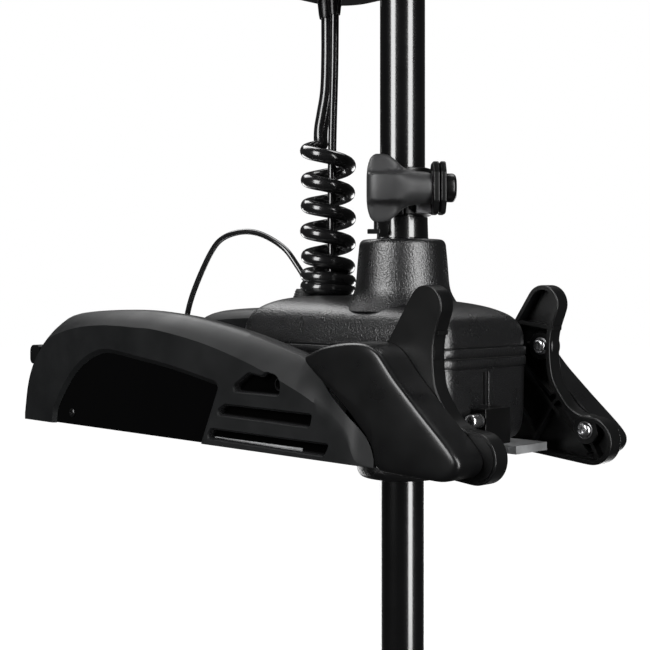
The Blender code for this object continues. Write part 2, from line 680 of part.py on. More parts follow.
def grommet(name, at, bore, root, tip, foot, top):
    """Tapered cord grommet standing in the housing's top."""
    profile = [(bore, foot), (root, foot), (root, (foot + top) / 2), (tip, top), (bore, top)]
    piece(name, turned(profile, centre=(*at, 0), segments=16, closed=True), "rubber", "tilt_axis")


# ---------------------------------------------------------------- drive tube, collar, shaft


def drive_tube():
    profile = [
        (14.65, TUBE_FOOT), (TUBE_R, TUBE_FOOT), (TUBE_R, TOWER_TOP + 0.4), (16.3, TOWER_TOP + 0.8),
        (15.9, TUBE_TOP), (14.65, TUBE_TOP),
    ]
    piece("drive_tube", turned(profile, segments=32, closed=True), "shaft_black", "collar_axis")


def faced(bm):
    """Turn a shape drawn with the collar's screw along X to the collar's bearing."""
    bmesh.ops.rotate(bm, verts=bm.verts, matrix=Matrix.Rotation(COLLAR_BEARING, 3, "Z"))
    return bm


def clamp_plate(x0, x1):
    """Eight-sided clamp plate across the screw."""
    y, z, reach, high, chamfer = -27.6, COLLAR_Z, 15.6, 16.0, 7.0
    flat, tall = reach - chamfer, high - chamfer
    corners = [(reach, tall), (flat, high), (-flat, high), (-reach, tall)]
    corners += [(-a, -b) for a, b in corners]
    return loft([[(x, y + a, z + b) for a, b in corners] for x in (x0, x1)])


def depth_collar():
    """Split collar round the shaft, with its clamp plates, bolt and wing knob."""
    collar = piece("depth_collar", faced(sleeve(SHAFT_R + 0.4, 18.4, 146, 176, segments=32)), "ramp_plastic", "collar_axis")
    join(collar, faced(block((3, 18), (-19.2, -15), (149, 173))), "web")
    join(collar, faced(clamp_plate(16.3, 19.9)), "plate")
    cut(collar, faced(rod(4.4, 10, 30, "X", (0, SCREW_OFFSET, COLLAR_Z), 14)), "bolt_hole")
    outer = piece("collar_clamp_plate", faced(clamp_plate(20.7, 24.1)), "ramp_plastic", "collar_axis")
    cut(outer, faced(rod(4.4, 10, 40, "X", (0, SCREW_OFFSET, COLLAR_Z), 14)), "bolt_hole")
    profile = [(4.0, -11.8), (4.0, 24.4), (8.8, 24.4), (8.8, 29), (7.2, 30.6)]
    bolt = turned(profile, "X", (0, SCREW_OFFSET, COLLAR_Z), 20)
    piece("collar_bolt", faced(bolt), "ramp_plastic", "collar_axis")


def collar_knob():
    """Wing knob: two rounded lobes on a hub that is threaded on the collar's bolt."""
    rings = []
    lobes = [(0.0, 9.5, 9.6, -13), (6.5, 10, 8.6, -13.4), (13, 10.4, 7, -13.6), (18, 8.8, 5.4, -13.4), (21, 5, 3, -13)]
    heights = [(-h, *rest) for h, *rest in reversed(lobes[1:])] + lobes
    for height, wide, thick, x in heights:
        ring = []
        for a in (math.tau * i / 16 for i in range(16)):
            ring.append((x + wide * math.cos(a), SCREW_OFFSET + thick * math.sin(a), COLLAR_Z + height))
        rings.append(ring)
    knob = piece("collar_knob", faced(loft(rings)), "arm_plastic", "collar_axis")
    hub = turned([(9.4, -14), (10, -4), (9.6, 8), (8.6, 15.9)], "X", (0, SCREW_OFFSET, COLLAR_Z), 16)
    join(knob, faced(hub), "hub")
    cut(knob, faced(rod(4.0 + GAP, -12.6, 24, "X", (0, SCREW_OFFSET, COLLAR_Z), 16)), "bore")


def shaft():
    piece("shaft", sleeve(SHAFT_BORE_R, SHAFT_R, SHAFT_FOOT, SHAFT_TOP, segments=32), "shaft_black")


# ---------------------------------------------------------------- control head


def head_shells():
    """Control head: a tray clamped on the shaft's top, a lid and the indicator lens."""
    rings = [
        rounded_box_ring(-98, 68, 44, 26, HEAD_FOOT), rounded_box_ring(-106, 78, 51, 30, HEAD_FOOT + 6),
        rounded_box_ring(-111, 85, 55.5, 32, HEAD_FOOT + 18), rounded_box_ring(-113, 88, 57, 34, HEAD_SEAM),
    ]
    tray = piece("head_lower_shell", loft(rings), "arm_plastic")
    hollow = [
        rounded_box_ring(-96, 66, 42, 25, HEAD_FOOT + 3.2), rounded_box_ring(-107, 81, 52, 30, HEAD_FOOT + 18),
        rounded_box_ring(-110, 85, 54, 32, HEAD_SEAM + 3),
    ]
    cut(tray, loft(hollow), "hollow")
    join(tray, turned([(19, HEAD_FOOT - 14), (22, HEAD_FOOT), (22, HEAD_FOOT + 14)], segments=24), "shaft_socket")
    cut(tray, rod(SHAFT_R + GAP, HEAD_FOOT - 20, HEAD_FOOT + 28, segments=32), "shaft_bore")
    for label, at, radius in (("coil_neck", HEAD_COIL_AT, 7.5), ("sensor_neck", HEAD_SENSOR_AT, 5.0)):
        neck = turned([(radius - 1.6, HEAD_GLAND_FOOT), (radius, HEAD_FOOT + 1.5)], centre=(*at, 0), segments=16)
        join(tray, neck, label)
    lid_rings = [
        rounded_box_ring(-113, 88, 57, 34, HEAD_SEAM + 0.6), rounded_box_ring(-112, 86.5, 56.5, 34, HEAD_SEAM + 14),
        rounded_box_ring(-107, 79, 52.5, 32, HEAD_SEAM + 26), rounded_box_ring(-96, 62, 45, 28, HEAD_SEAM + 34),
        rounded_box_ring(-76, 34, 31, 20, HEAD_SEAM + 38.5),
    ]
    lid = piece("head_upper_shell", loft(lid_rings), "arm_plastic")
    hollow = [
        rounded_box_ring(-110, 85, 54, 32, HEAD_SEAM - 3), rounded_box_ring(-109, 83, 53, 32, HEAD_SEAM + 13),
        rounded_box_ring(-103, 74, 49, 30, HEAD_SEAM + 24), rounded_box_ring(-90, 54, 40, 26, HEAD_SEAM + 31),
    ]
    cut(lid, loft(hollow), "hollow")
    centre = (-21, 0, HEAD_SEAM)
    cut(lid, rod(12 + GAP, 23, 48, centre=centre, segments=24), "lens_hole")
    piece("head_lens", turned([(12, 32.5), (12, 39.2), (10, 40.4)], centre=centre), "lens")


# ---------------------------------------------------------------- lower unit


def motor_housing():
    """Motor tube with the neck that clamps the shaft and the skeg below."""
    centre = (0, 0, MOTOR_Z)
    tube = piece("motor_housing", rod(MOTOR_R, MOTOR_BACK, MOTOR_FRONT, "X", centre, 36), "motor_paint", "motor_axis")
    neck = [(30, MOTOR_Z + 38), (26, MOTOR_Z + 47), (20.5, MOTOR_Z + 56), (18.4, MOTOR_Z + 70), (17.5, MOTOR_Z + 109)]
    join(tube, turned(neck, segments=24), "neck")
    cut(tube, rod(MOTOR_BORE_R, MOTOR_BACK - 5, MOTOR_FRONT + 5, "X", centre, 36), "motor_bore")
    cut(tube, rod(SHAFT_R + GAP, SHAFT_FOOT - GAP, MOTOR_Z + 120, segments=32), "shaft_bore")
    cut(tube, rod(8, MOTOR_Z + 30, MOTOR_Z + 60, segments=16), "wire_hole")
    skeg = [(34, -43.6), (20, -90), (2, -128), (-20, -144), (-38, -140), (-42, -120), (-34, -80), (-36, -43.6)]
    join(tube, side_prism([(x, MOTOR_Z + z) for x, z in skeg], -3, 3), "skeg")


def motor_ends():
    """Nose cone ahead of the motor tube and tail housing behind it."""
    centre = (0, 0, MOTOR_Z)
    nose = [
        (8, 160), (25, 138), (35, 112), (40, 88), (41, MOTOR_FRONT + GAP), (MOTOR_R, MOTOR_FRONT + GAP), (45.4, 92),
        (42, 118), (34.5, 146), (23, 170), (12, 184), (4, 190),
    ]
    piece("nose_cone", turned(nose, "X", centre, 36), "motor_paint", "motor_axis")
    tail = [
        (MOTOR_R, MOTOR_BACK - GAP), (45, -86), (40.5, -116), (31, -146), (23, -166), (18.5, -176), (5.6, -176),
        (5.6, -158), (16, -154), (27, -138), (36, -112), (40.4, -86), (41, MOTOR_BACK - GAP),
    ]
    piece("tail_housing", turned(tail, "X", centre, 36, closed=True), "motor_paint", "motor_axis")


def magnet(name, middle):
    """Half-round field magnet."""
    ends = []
    for x in (-35, 52):
        ring = arc(0, 0, 41.6, middle - 62, middle + 62, 12) + arc(0, 0, 33.5, middle + 62, middle - 62, 12)
        ends.append([(x, y, MOTOR_Z + z) for y, z in ring])
    piece(name, loft(ends), "magnet", "motor_axis")


def rotor():
    """Armature, its shaft, the drive pin, the propeller and the nut that holds it."""
    centre = (0, 0, MOTOR_Z)
    armature = [(5.3, -30), (31, -30), (31, 48), (14, 50), (14, 66), (5.3, 66)]
    piece("armature", turned(armature, "X", centre, 24, closed=True), "bronze", "motor_axis")
    piece("brush_plate", sleeve(15.5, 41.5, 56, 60, "X", centre, 24), "nylon", "motor_axis")
    main = piece("motor_shaft", rod(5, -228, 70, "X", centre, 16), "steel", "motor_axis")
    pin_at = (-184.0, 0, MOTOR_Z)
    cut(main, rod(2.7, -10, 10, "Z", pin_at, 10), "pin_hole")
    piece("drive_pin", rod(2.4, -15, 15, "Z", pin_at, 10), "steel", "motor_axis")
    hub = [(5.35, -180), (18, -180), (20.5, -190), (20.5, -205), (17, -217), (5.35, -217)]
    prop = piece("propeller", turned(hub, "X", centre, 28, closed=True), "prop_plastic", "motor_axis")
    for i in range(2):
        join(prop, blade(math.pi * i), f"blade_{i}")
    cut(prop, block((-187.4, -176), (-2.9, 2.9), (MOTOR_Z - 16, MOTOR_Z + 16)), "pin_slot")
    nut = [(math.cos(math.tau * i / 6), math.sin(math.tau * i / 6)) for i in range(6)]
    nut = loft([[(x, 9.5 * a, MOTOR_Z + 9.5 * b) for a, b in nut] for x in (-217.4, -231)])
    nut = piece("prop_nut", nut, "steel", "motor_axis")
    cut(nut, rod(5 + GAP, -228.6, -210, "X", centre, 16), "bore")


def blade(turn):
    """One swept, twisted blade, from inside the hub's wall to its round tip."""
    rings = []
    sections = [(14, 30, 52, 6.0, 0), (34, 40, 44, 5.2, 2), (62, 50, 34, 4.2, 0), (92, 54, 27, 3.4, -6), (118, 46, 23, 2.8, -14),
                (133, 30, 20, 2.4, -22), (PROP_R, 12, 19, 1.8, -28)]
    for radius, chord, pitch, thick, sweep in sections:
        lean = math.radians(pitch)
        ring = []
        for s, t in ((-0.5, 0), (-0.25, 0.42), (0.15, 0.5), (0.5, 0), (0.15, -0.5), (-0.25, -0.42)):
            across = s * chord + sweep
            x = PROP_X + s * chord * math.sin(lean) + t * thick * math.cos(lean)
            y = across * math.cos(lean) - t * thick * math.sin(lean)
            ring.append((x, y, radius))
        rings.append(ring)
    bm = loft(rings)
    bmesh.ops.rotate(bm, verts=bm.verts, matrix=Matrix.Rotation(turn, 3, "X"))
    bmesh.ops.translate(bm, verts=bm.verts, vec=(0, 0, MOTOR_Z))
    return bm


# ---------------------------------------------------------------- cords


def cords():
    """The coiled cord and its tail, the straight cable inside it, and the looped harness cable."""
    coil = sleeve(COIL_BORE_R, COIL_R, COIL_FOOT, COIL_TOP, centre=(*COIL_AT, 0), segments=20)
    piece("coil_cord", coil, "cord_jacket", "tilt_axis")
    x, y = HEAD_COIL_AT
    tail = [
        (-92.3, 17.6, COIL_TOP + 3.2), (-95, 18.8, 209), (-91.8, 19.6, 221), (-88.6, 20.2, 236), (-88, 20.5, 262),
        (x, y, HEAD_GLAND_FOOT - 0.8),
    ]
    tube_through(smooth_route(tail, 12), CORD_R, 2, "coil_cord_tail", "cord_jacket")
    x, y = SENSOR_GLAND_AT
    line = [(x, y, 99.8), (-78.4, 14.4, 150), (-78.4, 15, 200), (*HEAD_SENSOR_AT, HEAD_GLAND_FOOT - 0.8)]
    tube_through(smooth_route(line, 16), SENSOR_CABLE_R, 2, "sensor_cable", "cord_jacket")
    loop = [
        (-232, 2, 17), (-230.6, 2, 36), (-226.6, 2, 62), (-220.7, 2, 84.9), (-211.2, 3, 105.1), (-196.5, 5, 128.1),
        (-184.9, 7, 137.8), (-165.5, 9, 141.6), (-147.9, 12, 139), (-127.5, 14.6, 129), (-116, 17, 116.3),
        (-107.6, 19, 103.8), (-104.6, 20.2, 93.2),
    ]
    tube_through(smooth_route(loop, 9), HARNESS_R, 2, "harness_cable", "cord_jacket")
    profile = [(HARNESS_R + GAP, 5.3), (7, 5.3), (7, 8), (4.6, 16.4), (HARNESS_R + GAP, 16.4)]
    piece("harness_gland", turned(profile, centre=(-232, 2, 0), segments=14, closed=True), "rubber")


def main():
    clear_scene()
    make_hooks()
    base_extrusion()
    for side in ("right", "left"):
        side_cover(side)
        side_panel(side)
        arm_cover(side)
        motor_ramp(side)
        ramp_screw(side, "upper", *ARM_SCREWS[0], RAMP_OUT + 0.1)
        ramp_screw(side, "lower", *ARM_SCREWS[1], 76.0)
        tilt_bush(side)
    tilt_pin()
    pedal_pin()
    stow_pedal()
    pedal_spring()
    release_rod()
    upper_housing()
    lower_housing()
    housing_gasket()
    latch()
    steering_gears()
    steering_motor()
    tube_bearings()
    control_board()
    grommet("coil_cord_gland", COIL_GLAND_AT, CORD_R + GAP, 9.0, 6.8, 86, 99.8)
    grommet("sensor_cable_gland", SENSOR_GLAND_AT, SENSOR_CABLE_R + GAP, 6.0, 4.4, 87, 99.2)
    drive_tube()
    depth_collar()
    collar_knob()
    shaft()
    head_shells()
    motor_housing()
    motor_ends()
    magnet("upper_magnet", 90)
    magnet("lower_magnet", -90)
    rotor()
    cords()


main()
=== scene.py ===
"""Looks of the bow-mount electric-steer trolling motor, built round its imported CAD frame.

Shapes are drawn in millimetres about the station, the point where the shaft's axis meets the deck plane, as in the CAD.
"""
import math

import bmesh
import bpy
from mathutils import Matrix, Vector


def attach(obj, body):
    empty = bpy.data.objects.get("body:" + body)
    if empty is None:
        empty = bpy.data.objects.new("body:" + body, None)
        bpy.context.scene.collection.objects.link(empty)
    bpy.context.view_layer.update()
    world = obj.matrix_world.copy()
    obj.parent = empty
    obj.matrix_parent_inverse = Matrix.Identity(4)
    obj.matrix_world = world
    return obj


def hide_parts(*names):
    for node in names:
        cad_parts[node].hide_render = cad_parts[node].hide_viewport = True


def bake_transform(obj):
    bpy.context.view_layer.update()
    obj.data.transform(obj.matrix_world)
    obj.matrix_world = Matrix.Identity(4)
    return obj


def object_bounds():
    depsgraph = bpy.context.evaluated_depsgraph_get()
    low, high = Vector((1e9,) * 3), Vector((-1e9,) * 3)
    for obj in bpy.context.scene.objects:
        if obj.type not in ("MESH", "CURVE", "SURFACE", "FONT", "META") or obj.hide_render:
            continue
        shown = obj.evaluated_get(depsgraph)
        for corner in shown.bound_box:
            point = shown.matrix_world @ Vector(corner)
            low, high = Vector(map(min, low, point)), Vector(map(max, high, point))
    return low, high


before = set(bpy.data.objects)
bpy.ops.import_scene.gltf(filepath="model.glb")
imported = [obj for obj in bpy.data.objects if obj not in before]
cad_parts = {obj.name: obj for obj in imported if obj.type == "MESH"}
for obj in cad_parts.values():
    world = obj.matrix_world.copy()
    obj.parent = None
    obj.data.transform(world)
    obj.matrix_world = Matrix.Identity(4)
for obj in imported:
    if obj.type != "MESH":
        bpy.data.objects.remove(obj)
cad_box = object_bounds()

MM = 0.001
DECK_TO_SHAFT = 120.0
TILT_AXIS = (-92.0, 0.0, 35.0)
PEDAL_AXIS = (-266.0, 0.0, 24.0)
SHAFT_R = 14.3
SHAFT_TOP = 312.0
SHAFT_FOOT = -831.0
TUBE_R = 16.7
COLLAR_BEARING = math.radians(45.5)
COLLAR_Z = 161.5
SCREW_OFFSET = -31.5
MOTOR_Z = SHAFT_FOOT - 47.0
SCREW_AT = (0, SCREW_OFFSET, COLLAR_Z)
HEAD_FOOT = 300.0
HEAD_SEAM = 335.0
LATCH_AT = (75.4, 0, 23)
LATCH_BORE = 4.36
EAR = (107, 8)
KNOB_VOXEL = 0.00062
PROP_X = -199
COIL_GLAND = (-89.5, 0.5)
CABLE_GLAND = (-78.0, 14.0)
HARNESS_GLAND = (-232.0, 2.0)


# ---------------------------------------------------------------- materials


def node(tree, kind, **values):
    made = tree.nodes.new(kind)
    for key, value in values.items():
        if key in made.inputs:
            made.inputs[key].default_value = value
        else:
            setattr(made, key, value)
    return made


def look(name, colour, rough, metallic=0.0, grain=1500.0, bump=0.15, deep=0.04, mottle=0.12, broad=45.0,
         rough_var=0.12, coat=0.0, coat_rough=0.1, cells=False, stretch=None, specular=0.5, scuff=0.0):
    """A moulded, painted or machined finish: fine grain, mottled colour and roughness, and faint scuffs."""
    mat = bpy.data.materials.new("look_" + name)
    mat.use_nodes = True
    tree = mat.node_tree
    shader = tree.nodes["Principled BSDF"]
    shader.inputs["Metallic"].default_value = metallic
    shader.inputs["Specular IOR Level"].default_value = specular
    if coat:
        shader.inputs["Coat Weight"].default_value = coat
        shader.inputs["Coat Roughness"].default_value = coat_rough
    place = tree.nodes.new("ShaderNodeTexCoord").outputs["Object"]
    if stretch:
        mapping = node(tree, "ShaderNodeMapping")
        mapping.inputs["Scale"].default_value = stretch
        tree.links.new(place, mapping.inputs["Vector"])
        grain_place = mapping.outputs["Vector"]
    else:
        grain_place = place
    fine = node(tree, "ShaderNodeTexNoise", Scale=grain, Detail=3.0, Roughness=0.6)
    tree.links.new(grain_place, fine.inputs["Vector"])
    height = fine.outputs["Fac"]
    if cells:
        pits = node(tree, "ShaderNodeTexVoronoi", Scale=grain * 0.8, feature="SMOOTH_F1")
        tree.links.new(place, pits.inputs["Vector"])
        add = node(tree, "ShaderNodeMath", operation="MULTIPLY_ADD")
        add.inputs[1].default_value = 0.8
        tree.links.new(pits.outputs["Distance"], add.inputs[0])
        tree.links.new(fine.outputs["Fac"], add.inputs[2])
        height = add.outputs["Value"]
    relief = node(tree, "ShaderNodeBump", Strength=bump, Distance=deep * MM)
    tree.links.new(height, relief.inputs["Height"])
    tree.links.new(relief.outputs["Normal"], shader.inputs["Normal"])
    patch = node(tree, "ShaderNodeTexNoise", Scale=broad, Detail=4.0, Roughness=0.6)
    tree.links.new(place, patch.inputs["Vector"])
    ramp = node(tree, "ShaderNodeValToRGB")
    low, high = ramp.color_ramp.elements
    low.position, high.position = 0.32, 0.68
    low.color = (*(c * (1 - mottle) for c in colour), 1.0)
    high.color = (*(c * (1 + mottle) for c in colour), 1.0)
    tree.links.new(patch.outputs["Fac"], ramp.inputs["Fac"])
    tree.links.new(ramp.outputs["Color"], shader.inputs["Base Color"])
    span = node(tree, "ShaderNodeMapRange")
    span.inputs["From Min"].default_value = 0.3
    span.inputs["From Max"].default_value = 0.7
    span.inputs["To Min"].default_value = rough * (1 - rough_var)
    span.inputs["To Max"].default_value = min(1.0, rough * (1 + rough_var) + scuff)
    tree.links.new(patch.outputs["Fac"], span.inputs["Value"])
    tree.links.new(span.outputs["Result"], shader.inputs["Roughness"])
    return mat


LOOKS = {
    "raw_aluminium": look("raw_aluminium", (0.80, 0.81, 0.82), 0.46, 1.0, 700, 0.45, 0.05, 0.12, 60,
                          stretch=(0.06, 1, 1)),
    "cover_plastic": look("cover_plastic", (0.0052, 0.0056, 0.0060), 0.43, 0, 1700, 0.22, 0.05, 0.10, 30, scuff=0.02,
                          specular=0.38),
    "gloss_panel": look("gloss_panel", (0.0008, 0.0008, 0.0009), 0.09, 0, 900, 0.02, 0.01, 0.1, 20, specular=0.3),
    "arm_plastic": look("arm_plastic", (0.0029, 0.0030, 0.0032), 0.28, 0, 1900, 0.10, 0.03, 0.12, 26, scuff=0.03),
    "ramp_plastic": look("ramp_plastic", (0.0030, 0.0031, 0.0032), 0.31, 0, 1500, 0.15, 0.05, 0.14, 40, specular=0.42),
    "housing_textured": look("housing_textured", (0.0048, 0.0049, 0.0052), 0.28, 0, 1150, 1.0, 0.22, 0.08, 60,
                             rough_var=0.04, cells=True, specular=0.8),
    "shaft_black": look("shaft_black", (0.0016, 0.0016, 0.0018), 0.22, 0, 800, 0.04, 0.01, 0.1, 25, coat=0.9,
                        coat_rough=0.10),
    "steel": look("steel", (0.56, 0.56, 0.57), 0.26, 1.0, 900, 0.2, 0.02, 0.08, 80),
    "rubber": look("rubber", (0.0080, 0.0080, 0.0080), 0.56, 0, 1300, 0.3, 0.06, 0.15, 50),
    "cord_jacket": look("cord_jacket", (0.0075, 0.0075, 0.0078), 0.20, 0, 500, 0.05, 0.03, 0.12, 60, rough_var=0.25,
                        coat=0.6, coat_rough=0.12),
    "bronze": look("bronze", (0.46, 0.30, 0.14), 0.36, 1.0, 900, 0.25, 0.03, 0.15, 70),
    "nylon": look("nylon", (0.62, 0.60, 0.54), 0.48, 0, 900, 0.15, 0.05, 0.06, 40),
    "circuit": look("circuit", (0.01, 0.10, 0.035), 0.42, 0, 300, 0.3, 0.05, 0.3, 400),
    "lens": look("lens", (0.34, 0.36, 0.38), 0.08, 0, 700, 0.05, 0.02, 0.05, 40),
    "motor_paint": look("motor_paint", (0.0060, 0.0060, 0.0063), 0.24, 0.1, 1100, 0.12, 0.03, 0.12, 22, coat=0.3),
    "magnet": look("magnet", (0.07, 0.07, 0.075), 0.6, 0.3, 800, 0.4, 0.05, 0.2, 50),
    "prop_plastic": look("prop_plastic", (0.0080, 0.0080, 0.0082), 0.36, 0, 1300, 0.12, 0.04, 0.12, 30),
}
WASHER = look("bright_washer", (0.42, 0.42, 0.43), 0.30, 1.0, 900, 0.15, 0.02)
KNOB = look("knob_plastic", (0.022, 0.0222, 0.0228), 0.46, 0, 1500, 0.2, 0.05, 0.12, 45)
# Painted shade: a near-black, matt sheet that stands in for the dark hollow seen through the cover's keyhole and slots.
PAINTED_SHADE = look("painted_shade_black", (0.0004, 0.0004, 0.0004), 1.0, 0, 900, 0.1, 0.05, specular=0.02)
LIP = look("slot_lip", (0.012, 0.012, 0.0125), 0.18, 0, 1500, 0.1, 0.03)
BLACK = look("black_block", (0.0015, 0.0015, 0.0016), 0.35, 0, 1500, 0.15, 0.05, specular=0.3)
GREY_LUG = look("grey_lug", (0.33, 0.33, 0.34), 0.42, 0.2, 1200, 0.2, 0.04)

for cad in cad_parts.values():
    for held in cad.material_slots:
        base = held.material.name.split(".")[0] if held.material else ""
        if base in LOOKS:
            held.material = LOOKS[base]


# ---------------------------------------------------------------- helpers


def solid(name, bm):
    """An object in the row frame from a bmesh drawn in millimetres about the station."""
    bmesh.ops.remove_doubles(bm, verts=bm.verts, dist=1e-4)
    bmesh.ops.recalc_face_normals(bm, faces=bm.faces)
    bmesh.ops.translate(bm, verts=bm.verts, vec=(DECK_TO_SHAFT, 0, 0))
    bmesh.ops.scale(bm, verts=bm.verts, vec=(MM, MM, MM))
    mesh = bpy.data.meshes.new(name)
    bm.to_mesh(mesh)
    bm.free()
    obj = bpy.data.objects.new(name, mesh)
    bpy.context.scene.collection.objects.link(obj)
    return obj


def carve(obj, bm, operation="DIFFERENCE"):
    """Cut a shape out of a piece, or join it on."""
    tool = solid("tool", bm)
    modifier = obj.modifiers.new("carve", "BOOLEAN")
    modifier.operation = operation
    modifier.object = tool
    modifier.solver = "EXACT"
    settle(obj)
    bpy.data.objects.remove(tool)


def settle(obj):
    """Apply what a piece's modifiers do to its mesh."""
    bpy.context.view_layer.update()
    mesh = bpy.data.meshes.new_from_object(obj.evaluated_get(bpy.context.evaluated_depsgraph_get()))
    obj.modifiers.clear()
    old, obj.data = obj.data, mesh
    bpy.data.meshes.remove(old)


def soften(obj, width, segments=2, angle=30.0):
    """Round the edges that are sharper than an angle."""
    bevel = obj.modifiers.new("soften", "BEVEL")
    bevel.limit_method = "ANGLE"
    bevel.angle_limit = math.radians(angle)
    bevel.width = width * MM
    bevel.segments = segments
    bevel.use_clamp_overlap = True
    bevel.harden_normals = False
    settle(obj)


def show(obj, material, body, *nodes, slot=None, sharp=40.0, weighted=True):
    """Give a piece its finish, ride it on its body and hide the CAD parts it stands in for."""
    obj.data.materials.clear()
    obj.data.materials.append(LOOKS[material] if isinstance(material, str) else material)
    obj.data.shade_smooth()
    obj.data.set_sharp_from_angle(angle=math.radians(sharp))
    if weighted:
        normals = obj.modifiers.new("normals", "WEIGHTED_NORMAL")
        normals.keep_sharp = True
    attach(obj, body)
    if nodes:
        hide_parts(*nodes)
    return obj


def loft(rings, closed=False, caps=True):
    bm = bmesh.new()
    grid = [[bm.verts.new(p) for p in ring] for ring in rings]
    pairs = list(zip(grid, grid[1:]))
    if closed:
        pairs.append((grid[-1], grid[0]))
    for low, high in pairs:
        for i in range(len(low)):
            j = (i + 1) % len(low)
            bm.faces.new((low[i], low[j], high[j], high[i]))
    if caps and not closed:
        bm.faces.new(grid[0][::-1])
        bm.faces.new(grid[-1])
    return bm


def merged(*parts):
    """Several shapes as one bmesh."""
    whole = bmesh.new()
    for part in parts:
        mesh = bpy.data.meshes.new("part")
        bmesh.ops.recalc_face_normals(part, faces=part.faces)
        part.to_mesh(mesh)
        part.free()
        whole.from_mesh(mesh)
        bpy.data.meshes.remove(mesh)
    return whole


def on_axis(axis, across, up, along_it):
    return {"X": (along_it, across, up), "Y": (up, along_it, across), "Z": (across, up, along_it)}[axis]


def turned(profile, axis="Z", centre=(0, 0, 0), segments=64, closed=False):
    rings = []
    for radius, height in profile:
        angles = [math.tau * i / segments for i in range(segments)]
        ring = [on_axis(axis, radius * math.cos(a), radius * math.sin(a), height) for a in angles]
        rings.append([tuple(Vector(p) + Vector(centre)) for p in ring])
    return loft(rings, closed)


def rod(radius, start, end, axis="Z", centre=(0, 0, 0), segments=32):
    return turned([(radius, start), (radius, end)], axis, centre, segments)


def block(x, y, z):
    corners = [(x[0], y[0]), (x[1], y[0]), (x[1], y[1]), (x[0], y[1])]
    return loft([[(a, b, h) for a, b in corners] for h in z])


def prism(outline, y0, y1):
    return loft([[(x, y, z) for x, z in outline] for y in (y0, y1)])


def arc(cx, cy, radius, start, end, steps):
    angles = [math.radians(start + (end - start) * i / steps) for i in range(steps + 1)]
    return [(cx + radius * math.cos(a), cy + radius * math.sin(a)) for a in angles]


def box_ring(rear, front, half, corner, z, steps=9):
    """A level ring round a box with rounded corners."""
    points = arc(front - corner, half - corner, corner, 0, 90, steps)
    points += arc(rear + corner, half - corner, corner, 90, 180, steps)
    points += arc(rear + corner, corner - half, corner, 180, 270, steps)
    points += arc(front - corner, corner - half, corner, 270, 360, steps)
    return [(x, y, z) for x, y in points]


def smooth(rows, steps):
    """A Catmull-Rom curve through rows of numbers."""
    rows = [tuple(r) for r in rows]
    ends = [tuple(2 * a - b for a, b in zip(rows[0], rows[1]))] + rows
    ends.append(tuple(2 * a - b for a, b in zip(rows[-1], rows[-2])))
    out = []
    for p0, p1, p2, p3 in zip(ends, ends[1:], ends[2:], ends[3:]):
        for i in range(steps):
            t = i / steps
            out.append(tuple(
                (2 * b + (c - a) * t + (2 * a - 5 * b + 4 * c - d) * t * t + (3 * b - a - 3 * c + d) * t**3) / 2
                for a, b, c, d in zip(p0, p1, p2, p3)
            ))
    out.append(rows[-1])
    return out


def along(curve, x):
    """The height of a curve at x, from its points in order of x."""
    for (x0, z0), (x1, z1) in zip(curve, curve[1:]):
        if x <= x1:
            return z0 + (z1 - z0) * max(0.0, x - x0) / max(1e-9, x1 - x0)
    return curve[-1][1]


def rounded(outline, radius, steps=4):
    """A closed outline with its corners rounded."""
    out = []
    count = len(outline)
    for i in range(count):
        a, b, c = Vector(outline[i - 1]), Vector(outline[i]), Vector(outline[(i + 1) % count])
        p = b + (a - b).normalized() * min(radius, (a - b).length * 0.5)
        q = b + (c - b).normalized() * min(radius, (c - b).length * 0.5)
        for k in range(steps + 1):
            t = k / steps
            point = p * (1 - t) ** 2 + b * (2 * t * (1 - t)) + q * t * t
            if not out or (point - Vector(out[-1])).length > 0.05:
                out.append(tuple(point))
    if (Vector(out[0]) - Vector(out[-1])).length <= 0.05:
        out.pop()
    return out


def grown(outline, amount):
    """An outline moved outwards by an amount, or inwards by a negative one."""
    count = len(outline)
    area = sum(
        outline[i][0] * outline[(i + 1) % count][1] - outline[(i + 1) % count][0] * outline[i][1]
        for i in range(count)
    )
    side = 1.0 if area > 0 else -1.0
    moved = []
    for i in range(count):
        here = Vector(outline[i])
        before = (here - Vector(outline[i - 1])).normalized()
        after = (Vector(outline[(i + 1) % count]) - here).normalized()
        n0 = Vector((before.y, -before.x)) * side
        n1 = Vector((after.y, -after.x)) * side
        mitre = (n0 + n1).normalized()
        moved.append(tuple(here + mitre * amount / max(0.5, mitre.dot(n0))))
    return moved


def grown_loft(outline, rows, closed=False):
    """A loft of one side-view outline, from the y and the growth of each of its rings."""
    return loft([[(x, y, z) for x, z in grown(outline, growth)] for y, growth in rows], closed)


def shrunk(outline, middle, scale):
    return [(middle[0] + (x - middle[0]) * scale, middle[1] + (z - middle[1]) * scale) for x, z in outline]


def on_side(bm, side):
    if side == "left":
        bmesh.ops.scale(bm, verts=bm.verts, vec=(1, -1, 1))
    return bm


def faced(bm):
    """Turn a shape drawn with the collar's screw along X to the collar's bearing."""
    bmesh.ops.rotate(bm, verts=bm.verts, matrix=Matrix.Rotation(COLLAR_BEARING, 3, "Z"))
    return bm


# ---------------------------------------------------------------- deck mount

